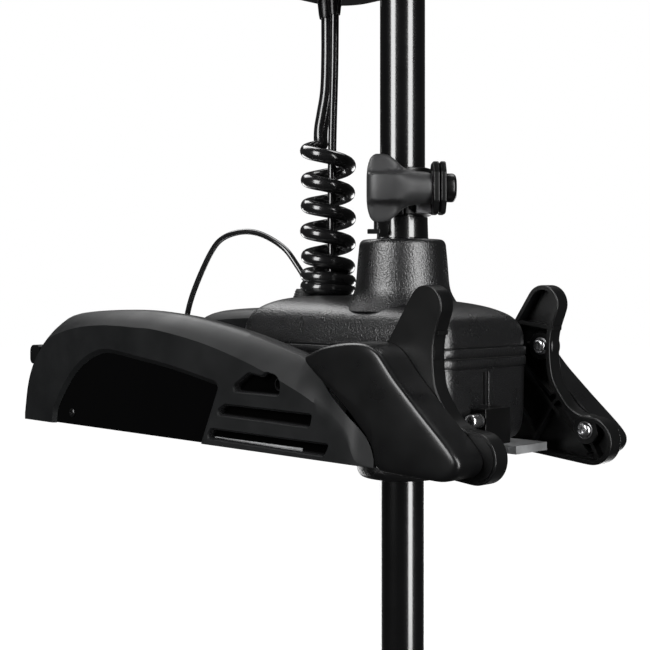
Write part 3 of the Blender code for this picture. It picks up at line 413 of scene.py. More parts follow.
CREASE = [
    (-312, 4.3), (-307.7, 26), (-300.5, 41.7), (-289.1, 55), (-276.5, 63.5), (-243.6, 71.1), (-208, 73.9),
    (-170.1, 73.2), (-145.7, 72.1), (-96.6, 64.8), (-48.1, 52.9), (-6.4, 38.9), (11.7, 30.8), (24.5, 24),
    (34.2, 15.4), (40, 3.3), (53.5, 0.4),
]
TOP_EDGE = [
    (-312.6, 8.4), (-308.3, 31.2), (-296.9, 58.3), (-287, 69.3), (-267.6, 79.1), (-245.8, 82.5), (-209, 84.5),
    (-174.9, 84.8), (-145.6, 83.3), (-113.8, 80.1), (-66.6, 72.1), (-27.1, 62.4), (-12.7, 58.3),
]
SEAM = [(-11, 58.7), (1.7, 51.1), (12.7, 43.6), (32.3, 28.3), (48.5, 14.8), (53.2, 5.6), (53.5, 3.4)]
PANEL = [
    (-272.3, -8), (-269.6, 9.7), (-259.9, 22.9), (-245, 38.1), (-227.6, 48.6), (-211.9, 53.5), (-197.8, 54.1),
    (-170.1, 51), (-130.2, 46.2), (-83.1, 38.1), (-104.6, -8),
]
KEYHOLE = [
    (-65.4, 35.7), (-65.4, 39.6), (-51.3, 48.1), (-38.5, 46.2), (-35.4, 49.5), (-27, 48.2), (-22.8, 43.3),
    (-23.8, 35.6),
]
UPPER_SLOT = [(-80.9, 20), (-80.9, 23), (-74.2, 26.9), (4.7, 26.3), (2.7, 18.7)]
LOWER_SLOT = [(-90.9, 4.1), (-90.9, 7.1), (-87.6, 10.6), (18.6, 10), (14.7, 3)]
HOLES = ((KEYHOLE, 2.6), (UPPER_SLOT, 1.6), (LOWER_SLOT, 1.6))
HOLE_CUT = [(-86, 1.3), (-84.95, 0.7), (-84.1, 0.0), (-76, 0.0)]
HOLE_LIP = [(-83.4, 0.3), (-78.5, 0.3), (-78.5, -0.7), (-83.4, -0.5)]
HOLE_BACK, HOLE_BACK_END, HOLE_BACK_GROWTH = -79.4, -76.4, 1.4
RECESS_CUT = [(-87, 4.4), (-85.0, 3.2), (-82.4, 0.0), (-78, 0.0)]
COVER_OUT = 85.0
COVER_IN = 52.8
TOP_END = -12.7
NOSE_START, NOSE_LENGTH = 38, 15.5

fine_crease = smooth(CREASE, 6)
fine_top = smooth(TOP_EDGE, 6)
fine_seam = smooth(SEAM, 4)


def cover_section(x):
    """The side cover cut across at x: a full arch behind TOP_END, then a wall that sinks to the seam with the arm."""
    crease = along(fine_crease, x)
    if x <= TOP_END:
        top = along(fine_top, x)
        inner = max(top - 8, top * 0.6)
        points = [(COVER_OUT, 0)] + [(COVER_OUT, crease * k / 5) for k in range(1, 6)]
        slope = top - crease
        points += [(COVER_OUT - 13 * t, crease + slope * (t + 0.10 * math.sin(math.pi * t)))
                   for t in (0.25, 0.5, 0.75, 0.93)]
        points += [(70.2, top + 0.1), (67, top + 0.1), (63, top - 0.5), (59.6, top - 1.4)]
        points += [(56.5, top - 3.6 * slope / 11 if slope < 11 else top - 3.6), (54, inner + (top - inner) * 0.2)]
        points += [(COVER_IN, inner), (COVER_IN, inner * 0.5), (COVER_IN, 0)]
    else:
        seam = along(fine_seam, x)
        lean = COVER_OUT - 0.8 * max(0.0, x - NOSE_START) / NOSE_LENGTH
        crease = min(crease, seam - 3)
        tilt = 0.72 - 0.62 * min(1.0, (x - TOP_END) / 34)
        lip = max(lean - tilt * (seam - crease), 72)
        points = [(lean, 0)] + [(lean, crease * k / 5) for k in range(1, 6)]
        points += [(lean + (lip - lean) * t, crease + (seam - crease) * t) for t in (0.25, 0.5, 0.75, 1.0)]
        points += [(lip - 0.2 * k, seam - 0.1 * k) for k in range(1, 8)] + [(lip - 1.8, (seam - 0.6) * 0.5),
                                                                            (lip - 2.4, 0)]
    return [(x, -y, z) for y, z in points]


def cavity_section(x):
    """The hollow under the cover's skin, cut across at x."""
    crease = along(CREASE, x - 2)
    top = along(TOP_EDGE, x - 2)
    out = COVER_OUT - 2.5
    points = [
        (out, -3), (out, max(crease - 1.4, -2)), (71, max(top - 2.7, -1.6)), (60, max(top - 4.2, -1.8)),
        (COVER_IN + 2.5, max(top - 9, -2)), (COVER_IN + 2.5, -3),
    ]
    return [(x, -y, z) for y, z in points]


def side_cover(side):
    """Arched side cover with its chamfered recess, keyhole and two slots."""
    xs = [-312, -311.3, -310.5, -309.6, -308.6, -307.4, -306, -304.4, -302.6, -300.5, -298.2, -295.6, -292.6, -289.2]
    xs += [-285.4, -281, -276, -270.5] + [-264 + 7.4 * i for i in range(34)]
    xs = [x for x in xs if x < -13.5] + [TOP_END]
    xs += [-11, -7.5, -4, -0.5, 3, 6.5, 10, 13.5, 17, 20.5, 24, 27.5, 31, 34.5, 37.5, 40, 42.5, 45, 47.5, 50, 52, 53.2,
           53.5]
    cover = solid(f"{side}_cover_shell", on_side(loft([cover_section(x) for x in xs]), side))
    soften(cover, 0.7, 2, 22)
    hollow = [x for x in (-306, -300, -292, -282, -268, -246, -222, -198, -170, -142, -112, -80, -48, -29)] + [-15.5]
    carve(cover, on_side(loft([cavity_section(x) for x in hollow]), side))
    carve(cover, on_side(block((-307, -7), (-81.6, -40), (-5, 5.5)), side))
    carve(cover, on_side(grown_loft(rounded(smooth_arch(PANEL), 3.0), RECESS_CUT), side))
    for hole, radius in HOLES:
        shape = rounded(hole, radius)
        tag = f"{len(hole)}_{int(hole[0][1])}"
        carve(cover, on_side(grown_loft(shape, HOLE_CUT), side))
        # A painted-shade sheet behind each hole, in place of the shade inside the hollow cover.
        back = prism(grown(shape, HOLE_BACK_GROWTH), HOLE_BACK, HOLE_BACK_END)
        show(solid(f"{side}_hole_shade_sheet_{tag}", on_side(back, side)), PAINTED_SHADE, "mount", slot="cover_plastic")
        lip = grown_loft(shape, HOLE_LIP, closed=True)
        show(solid(f"{side}_hole_lip_{tag}", on_side(lip, side)), LIP, "mount", slot="cover_plastic")
    soften(cover, 0.22, 1, 45)
    show(cover, "cover_plastic", "mount", f"{side}_side_cover", sharp=32)
    eye = turned([(3.3, 0), (3.9, 0), (4.1, -0.8), (3.9, -1.6), (3.5, -1.6)], "Y", (-27.6, -79.3, 41.9), 32,
                 closed=True)
    show(solid(f"{side}_keyhole_eye", on_side(eye, side)), LIP, "mount", slot="cover_plastic")


def smooth_arch(outline):
    """An outline with its middle points, between its two lowest, on a smooth curve."""
    return [outline[0]] + smooth(outline[1:-1], 4) + [outline[-1]]


def side_panel(side):
    """Plain glossy panel in the recess, with its screw."""
    outline = [(x, max(z, 0.4)) for x, z in grown(rounded(smooth_arch(PANEL), 3.0), 2.4)]
    clean = [outline[0]]
    for p in outline[1:]:
        if (Vector(p) - Vector(clean[-1])).length > 0.3:
            clean.append(p)
    panel = solid(f"{side}_gloss_panel", on_side(prism(clean, -82.3, -80.6), side))
    show(panel, "gloss_panel", "mount", f"{side}_side_panel", weighted=False)
    head = turned([(0.6, -82.2), (3.2, -82.2), (3.2, -83.0), (2.6, -83.5), (1.6, -83.6), (1.5, -83.0), (0.6, -82.9)],
                  "Y", (-250.5, 0, 9.0), 24, closed=True)
    show(solid(f"{side}_panel_screw", on_side(head, side)), "arm_plastic", "mount")


ARM = [
    (-6.5, 59.6), (1, 62.4), (10, 66), (22, 68.4), (36, 69.8), (48, 69), (56, 65), (69, 50.5), (87.5, 33.5),
    (103.5, 19.5), (111.5, 12), (114, 7), (111, 0.5), (103, -3.3), (80, -2.8), (54.4, -1.8), (54.3, 6),
    (49.4, 15.2), (33.5, 29.6), (14, 44.8), (3, 52.2),
]
ARM_MIDDLE = (52.0, 28.0)
ARM_SCREWS = [(68.8, 64.1), (101.6, 14.2)]
ARM_IN = 61.3
ARM_CROWN = [
    (78.6, 1.0), (80.4, 0.997), (81.8, 0.985), (82.8, 0.965), (83.4, 0.935), (83.8, 0.88), (84.1, 0.78), (84.35, 0.6),
    (84.52, 0.4), (84.6, 0.2), (84.62, 0.06),
]


def arm_cover(side):
    """Smooth crowned shell over the arm, hollow inside, with the boss its screw runs into."""
    outline = rounded(ARM, 5.5, 4)
    inner = [(82.4, 0.2), (82.2, 0.5), (81.2, 0.8), (79.2, 0.9), (76.0, 0.93), (ARM_IN, 0.935)]
    outer = [(ARM_IN, 0.992), (61.8, 1.0), (69, 1.0)] + smooth(ARM_CROWN, 3)
    rings = [[(x, -y, z) for x, z in shrunk(outline, ARM_MIDDLE, scale)] for y, scale in inner + outer]
    boss_x, boss_z = ARM_SCREWS[1]
    shell = merged(loft(rings), rod(4.6, -ARM_IN, -80.5, "Y", (boss_x, 0, boss_z)))
    show(solid(f"{side}_arm_shell", on_side(shell, side)), "arm_plastic", "mount", f"{side}_arm_cover", sharp=38)


def ramp_outline(inset=0.0, radius=3.5):
    points = [(2, 0), (12, 36), (41.7, 67.4)]
    points += arc(71.5, 90.3, 12, 142, -25, 16)
    points += smooth([(79.6, 78), (77.4, 70), (77.2, 58), (79, 45.5), (83.5, 37.5), (89.8, 29.3), (95.5, 25),
                      (101, 22.7)], 3)
    points += arc(*EAR, 14.5, 82, -95, 14)
    points += [(65, -2.7)]
    return rounded(grown(points, -inset), radius, 3)


def bar(p, q, width, y0, y1):
    """A straight rib between two points of the side view."""
    a, b = Vector(p), Vector(q)
    across = Vector((-(b - a).y, (b - a).x)).normalized() * width / 2
    return prism([tuple(v) for v in (a + across, b + across, b - across, a - across)], y0, y1)


def motor_ramp(side):
    """Ramp tray: an outer wall with a rim, screw bosses and a lattice of ribs."""
    outline = ramp_outline()
    ramp = solid(f"{side}_ramp_tray", on_side(prism(outline, -61.0, -50.0), side))
    soften(ramp, 2.3, 5, 40)
    carve(ramp, on_side(prism(ramp_outline(2.8, 1.6), -58.4, -45.0), side))
    ribs = [
        ((50, 79.4), (80, 75.4), 2.4, -50.8), ((54, 52), (103.2, 0.2), 2.0, -52.5), ((60, 2.0), (79.2, 31), 1.8, -53.5),
        ((20, 2), (58, 66), 1.8, -53.5), ((40, 64), (76, 34), 1.8, -53.5), ((30, 50), (64, 8), 1.6, -54),
        ((104, 8.5), (111.5, -3), 1.8, -53),
    ]
    for a, b, width, face in ribs:
        carve(ramp, on_side(bar(a, b, width, -59, face), side), "UNION")
    for x, z in ARM_SCREWS:
        carve(ramp, on_side(turned([(9.4, -60), (9.2, -53.4), (8.4, -52.4)], "Y", (x, 0, z), 40), side), "UNION")
        carve(ramp, on_side(rod(3.0, -64 if z < 40 else -60.2, -45, "Y", (x, 0, z)), side))
    carve(ramp, on_side(turned([(14.2, -62), (14.2, -60.4), (12.6, -60.4), (12.6, -62)], "Y", (EAR[0], 0, EAR[1]), 48,
                               closed=True), side))
    soften(ramp, 0.3, 2, 48)
    show(ramp, "ramp_plastic", "mount", f"{side}_motor_ramp", sharp=38)


def ramp_screw(side, level, x, z, tip):
    """Stainless button-head screw with its socket and washer."""
    profile = [(3.0, -tip), (3.0, -52.3), (4.6, -52.3), (4.7, -51.6), (4.4, -50.6), (3.6, -49.8), (2.7, -49.4),
               (1.9, -49.4), (1.8, -51.0), (0.4, -51.2)]
    screw = solid(f"{side}_{level}_screw", on_side(turned(profile, "Y", (x, 0, z), 30), side))
    show(screw, "steel", "mount", f"{side}_{level}_ramp_screw", sharp=50)
    ring = turned([(3.1, -52.4), (5.3, -52.4), (5.4, -52.1), (5.2, -51.9), (3.1, -51.9)], "Y", (x, 0, z), 36,
                  closed=True)
    show(solid(f"{side}_{level}_washer", on_side(ring, side)), WASHER, "mount", slot="steel", sharp=50)


def stow_pedal():
    px, _, pz = PEDAL_AXIS
    arm = arc(px, pz, 8, -70, 100, 12) + [(-301, 52), (-309, 53), (-309, 45.5), (-301, 43.5)]
    tread = arc(-306, 54, 2.5, 90, 0, 4) + arc(-306, 44.5, 2.5, 0, -90, 4) + arc(-312, 46, 4, 270, 180, 6)
    tread += arc(-311, 51.5, 5, 180, 90, 6)
    pedal = solid("pedal_tread", prism(arm, -44, 44))
    carve(pedal, prism(tread, -78, 78), "UNION")
    carve(pedal, rod(3.3, -60, 60, "Y", PEDAL_AXIS))
    carve(pedal, block((px - 60, px + 12), (-29.5, 29.5), (pz - 20, 49)))
    for i in range(15):
        y = -70 + 10 * i
        carve(pedal, block((-318, -315.2), (y - 2.2, y + 2.2), (45, 53)))
    soften(pedal, 0.7, 2, 40)
    show(pedal, "ramp_plastic", "stow_pedal", "stow_pedal")


# ---------------------------------------------------------------- steering unit

REAR, FRONT, HALF, FLANGE = -111.0, 68.6, 43.2, 1.3
SEAM_LOW, SEAM_HIGH, TOWER_TOP, BOSS_R, BOSS_FOOT = 58.5, 59.3, 131.0, 29.0, -19.0


def crowned(rings):
    """Rings whose crown falls away a little towards the front."""
    top = SEAM_HIGH + 8
    return [[(x, y, z - max(0.0, z - top) * 0.0011 * (x + 10)) for x, y, z in ring] for ring in rings]


def upper_housing():
    flange = [
        (REAR - FLANGE + 0.4, FRONT + FLANGE - 0.4, HALF + FLANGE - 0.4, 12.8, SEAM_HIGH),
        (REAR - FLANGE, FRONT + FLANGE, HALF + FLANGE, 13, SEAM_HIGH + 0.4),
        (REAR - FLANGE, FRONT + FLANGE, HALF + FLANGE, 13, 63.9),
        (REAR - FLANGE + 0.15, FRONT + FLANGE - 0.15, HALF + FLANGE - 0.15, 12.9, 64.3),
        (REAR - FLANGE + 0.5, FRONT + FLANGE - 0.5, HALF + FLANGE - 0.5, 12.6, 64.5),
        (REAR + 0.5, FRONT - 0.5, HALF - 0.5, 11.8, 64.6),
        (REAR + 0.4, FRONT - 0.4, HALF - 0.4, 11.8, 65.3),
    ]
    crown = [
        (REAR, FRONT, HALF, 12, 65.6), (REAR + 0.6, FRONT - 0.3, HALF - 0.3, 12, 73),
        (REAR + 2.5, FRONT - 2, HALF - 2, 12, 79), (REAR + 7, FRONT - 6, HALF - 5.5, 12, 84.5),
        (REAR + 13.5, FRONT - 13, HALF - 11, 12, 88.5), (REAR + 22, FRONT - 21, HALF - 18, 11, 91.2),
        (REAR + 34, FRONT - 31, HALF - 26, 9, 93), (REAR + 48, FRONT - 40, HALF - 32, 7, 93.8),
    ]
    rows = flange + smooth(crown, 5)
    upper = solid("housing_cover", loft(crowned([box_ring(*row, steps=12) for row in rows])))
    show(upper, "housing_textured", "steering_unit", "upper_housing", sharp=50, weighted=False)
    profile = [(21, 80)] + smooth([(38, 86), (33.2, 93.4), (30.7, 98.5), (29.6, 104), (28.7, 115), (27.7, 125.6)], 6)
    profile += [(27.5, 127.4), (27.1, 128.8), (26.3, 130.0), (25.2, 130.8), (24.3, 131.0), (19.2, 131.0), (18.3, 130.4),
                (17.3, 129.2), (17.3, 80)]
    show(solid("housing_tower", turned(profile, segments=96, closed=True)), "housing_textured", "steering_unit",
         sharp=50, weighted=False)


def lower_housing():
    heel = [
        (-92, FRONT - 7, 36, 11, 7.5), (-102, FRONT - 3, 39, 11, 10), (-109, FRONT - 0.8, 41, 11, 16),
        (-114, FRONT, 42, 11, 26), (-116, FRONT, 42.6, 11, 40), (-113.5, FRONT, 43, 11, 50),
        (REAR - 0.5, FRONT, HALF, 11, 52.4),
    ]
    rows = smooth(heel, 5)
    rows += [
        (REAR, FRONT - 0.6, HALF - 0.6, 11, 52.6), (REAR, FRONT - 0.6, HALF - 0.6, 11, 53.3),
        (REAR - FLANGE + 0.4, FRONT + FLANGE - 0.4, HALF + FLANGE - 0.4, 12.6, 53.4),
        (REAR - FLANGE, FRONT + FLANGE, HALF + FLANGE, 13, 53.9),
        (REAR - FLANGE, FRONT + FLANGE, HALF + FLANGE, 13, 58.1),
        (REAR - FLANGE + 0.4, FRONT + FLANGE - 0.4, HALF + FLANGE - 0.4, 12.6, 58.5),
    ]
    lower = solid("gear_case", loft([box_ring(*row, steps=12) for row in rows]))
    carve(lower, block((FRONT - 1.8, FRONT + 3), (-16.8, -2.9), (31, 50.5)))
    carve(lower, rod(8.7, -50, -41.5, "Y", TILT_AXIS))
    carve(lower, rod(8.7, 41.5, 50, "Y", TILT_AXIS))
    show(lower, "housing_textured", "steering_unit", "lower_housing", sharp=45, weighted=False)
    rib = solid("gear_case_rib", block((FRONT - 1.6, FRONT + 1.3), (-1.2, 2.8), (12, 51)))
    soften(rib, 0.5, 3)
    show(rib, "housing_textured", "steering_unit")
    boss = [(TUBE_R + 1.6, BOSS_FOOT), (24.2, BOSS_FOOT)]
    boss += [(24.2 + 4.8 * math.sin(a), BOSS_FOOT + 6.4 * (1 - math.cos(a)))
             for a in (math.pi / 2 * i / 8 for i in range(1, 9))]
    boss += [(BOSS_R, 0), (BOSS_R, 15), (TUBE_R + 1.6, 15)]
    show(solid("gear_case_boss", turned(boss, segments=96, closed=True)), "housing_textured", "steering_unit",
         sharp=50, weighted=False)


def latch():
    body = solid("latch_housing", block((FRONT + 1.7, 80), (-17, 7), (8.5, 30)))
    carve(body, rod(LATCH_BORE, -22, 3, "Y", LATCH_AT))
    soften(body, 0.7, 3)
    show(body, BLACK, "steering_unit", "latch_block", slot="ramp_plastic")
    profile = [(0.8, -26.9), (2.4, -26.8), (3.4, -26.4), (4.0, -25.6), (4.3, -24.6), (4.3, -19.4), (4.0, -19.1),
               (4.0, -18.2),
               (4.3, -17.9), (4.3, -7.4)]
    show(solid("latch_plunger", turned(profile, "Y", LATCH_AT, 40)), "steel", "latch_pin", "latch_pin", sharp=50)


def grommet(name, node_name, body, at, bore, root, tip, foot, top):
    """Rubber gland: a plain root and three ribs that narrow towards the tip."""
    mid = (foot + top) / 2
    profile = [(bore, foot), (root, foot), (root, mid - 1.0), (root - 0.5, mid)]
    for i in range(1, 4):
        h = mid + (top - mid) * i / 4
        r = root + (tip - root) * i / 4
        profile += [(r + 0.25, h - 0.6), (r + 0.25, h + 0.2), (r - 0.35, h + 0.5), (r - 0.35, h + 0.9)]
    profile += [(tip, top - 0.5), (tip - 0.4, top), (bore, top)]
    show(solid(name, turned(profile, centre=(*at, 0), segments=40, closed=True)), "rubber", body, node_name, sharp=50,
         weighted=False)


# ---------------------------------------------------------------- tube, collar, shaft


def drive_tube():
    profile = [
        (14.65, -12.4), (16.3, -12.4), (TUBE_R, -12.0), (TUBE_R, 131.2), (16.5, 131.9), (16.3, 132.2), (15.95, 145.0),
        (15.6, 145.5), (14.65, 145.5),
    ]
    show(solid("steering_tube", turned(profile, segments=96, closed=True)), "shaft_black", "steer_tube", "drive_tube",
         sharp=15, weighted=False)


def clamp_plate(x0, x1, grow=0.0):
    y, z, reach, high, chamfer = SCREW_OFFSET + 3.9, COLLAR_Z, 15.6 + grow, 16.0 + grow, 7.0
    flat, tall = reach - chamfer, high - chamfer
    corners = [(reach, tall), (flat, high), (-flat, high), (-reach, tall)]
    corners += [(-a, -b) for a, b in corners]
    return loft([[(x, y + a, z + b) for a, b in rounded(corners, 1.4, 2)] for x in (x0, x1)])


def depth_collar():
    profile = [(SHAFT_R + 0.4, 146), (17.6, 146), (18.4, 146.8), (18.4, 174.6), (17.8, 175.7), (16.8, 176),
               (SHAFT_R + 0.4, 176)]
    collar = solid("collar_ring", faced(turned(profile, segments=72, closed=True)))
    carve(collar, faced(block((-0.6, 0.6), (-24, -10), (140, 180))))
    web = solid("collar_web", faced(block((3, 18), (-19.2, -15), (149, 173))))
    soften(web, 0.5)
    soften(collar, 0.3, 2, 45)
    show(collar, "ramp_plastic", "steer_tube", "depth_collar")
    show(web, "ramp_plastic", "steer_tube")
    plate = solid("collar_inner_plate", faced(clamp_plate(16.3, 19.9)))
    carve(plate, faced(rod(4.4, 10, 30, "X", SCREW_AT)))
    soften(plate, 0.7, 3, 40)
    show(plate, "ramp_plastic", "steer_tube")
    outer = solid("collar_outer_plate", faced(clamp_plate(20.7, 24.1)))
    carve(outer, faced(rod(4.4, 10, 40, "X", SCREW_AT)))
    soften(outer, 0.8, 3, 40)
    show(outer, "ramp_plastic", "steer_tube", "collar_clamp_plate")
    bolt = [(4.0, -11.8), (4.0, 24.4), (8.3, 24.4), (8.8, 25.0), (8.8, 28.4), (8.4, 29.4), (7.6, 30.2), (6.4, 30.6),
            (4.2, 30.6), (3.8, 29.8), (0.5, 29.8)]
    show(solid("collar_stud", faced(turned(bolt, "X", SCREW_AT, 48))), "ramp_plastic", "steer_tube", "collar_bolt",
         sharp=50)
    ring = faced(turned([(8.8, 15.9), (10.1, 15.9), (10.4, 16.1), (8.8, 16.3)], "X", SCREW_AT, 48, closed=True))
    show(solid("collar_washer", ring), WASHER, "steer_tube", slot="steel", sharp=50)
    lug = solid("collar_lug", faced(block((7, 16.2), (-24, -17.5), (146.8, 157.5))))
    soften(lug, 0.6, 2)
    show(lug, GREY_LUG, "steer_tube", slot="ramp_plastic")
    hook = solid("collar_hook", faced(merged(block((-19, -16.6), (-20.2, -18.0), (135, 148.5)),
                                             block((-23, -15.2), (-20.2, -17.6), (134, 137)))))
    soften(hook, 0.5, 2)
    show(hook, "ramp_plastic", "steer_tube")


def collar_knob():
    """Wing knob: two lobes blended into a tapered hub."""
    sections = [
        (-23.9, 8.0, 2.4), (-23.3, 13.2, 4.6), (-21.8, 18.2, 6.6), (-19.2, 20.8, 8.2), (-15.4, 21.1, 9.4),
        (-11.4, 20.5, 10.2),
        (-7.8, 18.6, 10.8), (-4.8, 15.8, 11.0), (-2.2, 13.2, 11.0), (1.2, 11.3, 10.8), (5.0, 10.5, 10.4),
        (9.5, 10.0, 10.0),
        (14.6, 9.4, 9.5), (15.8, 8.7, 8.9),
    ]
    pinched, hub_high, pinch_over, wing_start, wing_ramp = 0.66, 11.0, 5.0, 8.2, 1.8
    rings = []
    for x, high, thick in smooth(sections, 4):
        pinch = pinched * min(1.0, max(0.0, (high - hub_high) / pinch_over))
        ring = []
        for a in (math.tau * i / 64 for i in range(64)):
            up = math.sin(a)
            wing = min(1.0, max(0.0, (abs(up) * high - wing_start) / wing_ramp))
            flat = 1.0 - pinch * wing
            ring.append((x, SCREW_OFFSET + thick * math.cos(a) * flat, COLLAR_Z + high * up))
        rings.append(ring)
    knob = solid("wing_knob", faced(loft(rings)))
    remesh = knob.modifiers.new("voxels", "REMESH")
    remesh.mode = "VOXEL"
    remesh.voxel_size = KNOB_VOXEL
    settle(knob)
    relax = knob.modifiers.new("relax", "SMOOTH")
    relax.factor = 0.6
    relax.iterations = 3
    settle(knob)
    show(knob, KNOB, "collar_knob", "collar_knob", slot="arm_plastic", sharp=60, weighted=False)


def shaft():
    profile = [(11.9, SHAFT_FOOT), (SHAFT_R - 0.4, SHAFT_FOOT), (SHAFT_R, SHAFT_FOOT + 0.6)]
    profile += [(SHAFT_R, z) for z in (-600, -400, -200, -100, 0, 100, 200, 300)]
    profile += [(SHAFT_R, SHAFT_TOP - 0.6), (SHAFT_R - 0.4, SHAFT_TOP), (11.9, SHAFT_TOP)]
    show(solid("long_shaft", turned(profile, segments=96, closed=True)), "shaft_black", "shaft_unit", "shaft",
         sharp=50, weighted=False)


# ---------------------------------------------------------------- control head and lower unit


def control_head():
    """Tray, lid with a shallow shoulder line, and the indicator lens in its bezel."""
    tray_rows = [(-98, 68, 44, 26, HEAD_FOOT), (-102, 73, 47.5, 28, HEAD_FOOT + 2.4), (-106, 78, 51, 30, HEAD_FOOT + 6),
                 (-111, 85, 55.5, 32, HEAD_FOOT + 18), (-112.6, 87.6, 56.8, 34, HEAD_SEAM - 1.2),
                 (-112.2, 87.2, 56.4, 33.6, HEAD_SEAM)]
    tray = solid("head_tray", merged(
        loft([box_ring(*row, steps=12) for row in smooth(tray_rows, 4)]),
        turned([(SHAFT_R + 0.4, HEAD_FOOT - 14), (18.2, HEAD_FOOT - 14), (19, HEAD_FOOT - 13), (20, HEAD_FOOT - 6),
                (22.5, HEAD_FOOT - 1.5),
                (27, HEAD_FOOT + 1), (27, HEAD_FOOT + 3), (SHAFT_R + 0.4, HEAD_FOOT + 3)], segments=64, closed=True),
        turned([(5.5, 288), (6.0, 288), (6.6, 291), (7.5, 299), (7.8, HEAD_FOOT + 1.5)], centre=(-88, 20.5, 0),
               segments=32),
        turned([(3.2, 288), (3.8, 288), (4.4, 293), (5.0, 299), (5.4, HEAD_FOOT + 1.5)], centre=(-75.5, 14.5, 0),
               segments=32),
    ))
    show(tray, "arm_plastic", "shaft_unit", "head_lower_shell", sharp=45, weighted=False)
    lid_rows = [(-112.4, 87.4, 56.6, 33.8, HEAD_SEAM + 0.6), (-113, 88, 57, 34, HEAD_SEAM + 1.8),
                (-112, 86.5, 56.5, 34, HEAD_SEAM + 14),
                (-107, 79, 52.5, 32, HEAD_SEAM + 26), (-96, 62, 45, 28, HEAD_SEAM + 34),
                (-76, 34, 31, 20, HEAD_SEAM + 38.4)]
    lid = solid("head_lid", loft([box_ring(*row, steps=12) for row in smooth(lid_rows, 5)]))
    carve(lid, rod(12.3, 30, 60, centre=(-21, 0, HEAD_SEAM), segments=48))
    soften(lid, 0.3, 2, 50)
    show(lid, "arm_plastic", "shaft_unit", "head_upper_shell", sharp=45, weighted=False)
    dome = [(12, 32.5), (12, 38.8)] + [(12 * math.cos(a), 38.8 + 1.6 * math.sin(a))
                                       for a in (math.pi / 2 * i / 8 for i in range(1, 8))]
    show(solid("head_indicator", turned(dome, centre=(-21, 0, HEAD_SEAM), segments=48)), "lens", "shaft_unit",
         "head_lens", sharp=50)


def lower_unit():
    """Motor pod with its seams and collar bands, tapered neck, skeg and swept propeller."""
    centre = (0, 0, MOTOR_Z)
    tube = [(42, -62), (45.4, -62), (46, -61.4), (46, -52), (45.5, -51.6), (45.5, -50.6), (46, -50.2), (46, 62),
            (45.5, 62.4),
            (45.5, 63.4), (46, 63.8), (46, 73.4), (45.4, 74), (42, 74)]
    body = solid("motor_pod", turned(tube, "X", centre, 96, closed=True))
    neck = [(17.0, MOTOR_Z + 109), (17.5, MOTOR_Z + 108.4), (18.0, MOTOR_Z + 88), (18.6, MOTOR_Z + 72),
            (20.2, MOTOR_Z + 60), (23.2, MOTOR_Z + 51.5),
            (27.5, MOTOR_Z + 44), (34, MOTOR_Z + 34)]
    cone = solid("motor_neck", turned([(SHAFT_R + 0.2, MOTOR_Z + 109)] + neck + [(SHAFT_R + 0.2, MOTOR_Z + 36)],
                                      segments=72, closed=True))
    show(cone, "motor_paint", "shaft_unit", sharp=50, weighted=False)
    show(body, "motor_paint", "shaft_unit", "motor_housing", sharp=50)
    skeg = [(34, -43.6), (20, -90), (2, -128), (-20, -144), (-38, -140), (-42, -120), (-34, -80), (-36, -43.6)]
    fin = solid("motor_skeg", prism([(x, MOTOR_Z + z) for x, z in rounded(skeg, 7, 5)], -3, 3))
    soften(fin, 2.2, 4, 60)
    show(fin, "motor_paint", "shaft_unit", sharp=60)
    nose = smooth([(46, 74.3), (45.4, 92), (42, 118), (34.5, 146), (23, 170), (12, 184), (4, 189.3)],
                  6) + [(0.6, 189.8)]
    show(solid("motor_nose", turned([(20, 70), (41.5, 70), (41.5, 74.3)] + nose, "X", centre, 96)), "motor_paint",
         "shaft_unit", "nose_cone", sharp=50)
    tail = smooth([(46, -62.3), (45, -86), (40.5, -116), (31, -146), (23, -166), (18.5, -176)], 6)
    tail = [(30, -58), (41.5, -58), (41.5, -62.3)] + tail + [(5.6, -176), (5.6, -150)]
    show(solid("motor_tail", turned(tail, "X", centre, 96, closed=True)), "motor_paint", "shaft_unit", "tail_housing",
         sharp=50)
    hub = smooth([(18, -180), (20.2, -187), (20.7, -196), (20.3, -206), (17.4, -216.4)], 5)
    prop = solid("prop", turned([(5.35, -180)] + hub + [(5.35, -217)], "X", centre, 64, closed=True))
    for i in range(2):
        carve(prop, blade(math.pi * i), "UNION")
    show(prop, "prop_plastic", "rotor", "propeller", sharp=45)


def blade(turn):
    """One swept blade, from sections of radius, chord, pitch, thickness and sweep."""
    sections = [
        (14, 30, 52, 6.0, 0), (34, 40, 44, 5.2, 2), (62, 50, 34, 4.2, 0), (92, 54, 27, 3.4, -6),
        (118, 46, 23, 2.8, -14),
        (133, 30, 20, 2.4, -22), (139.6, 12, 19, 1.8, -28),
    ]
    rings = []
    for radius, chord, pitch, thick, sweep in smooth(sections, 5):
        lean = math.radians(pitch)
        ring = []
        for k in range(28):
            a = math.tau * k / 28
            s, t = -0.5 * math.cos(a), 0.5 * math.sin(a) * (1.15 - 0.35 * math.cos(a)) * 0.9
            across = s * chord + sweep
            x = PROP_X + s * chord * math.sin(lean) + t * thick * math.cos(lean)
            ring.append((x, across * math.cos(lean) - t * thick * math.sin(lean), radius))
        rings.append(ring)
    bm = loft(rings)
    bmesh.ops.rotate(bm, verts=bm.verts, matrix=Matrix.Rotation(turn, 3, "X"))
    bmesh.ops.translate(bm, verts=bm.verts, vec=(0, 0, MOTOR_Z))
    return bm


# ---------------------------------------------------------------- cords


CORD_R, CABLE_R, HARNESS_R = 4.9, 2.9, 2.1
STEPS_PER_TURN = 40
LOWER_BLEND = ((0, 0, 136), (0, 0, 146))
UPPER_BLEND = ((0, 0, 149), (0, 0, 286))
HARNESS_BLEND = ((-110, 0, 20), (16, 0, 92))
COIL_FOOT_Z = 98.6
COIL_SPLIT_Z = 148


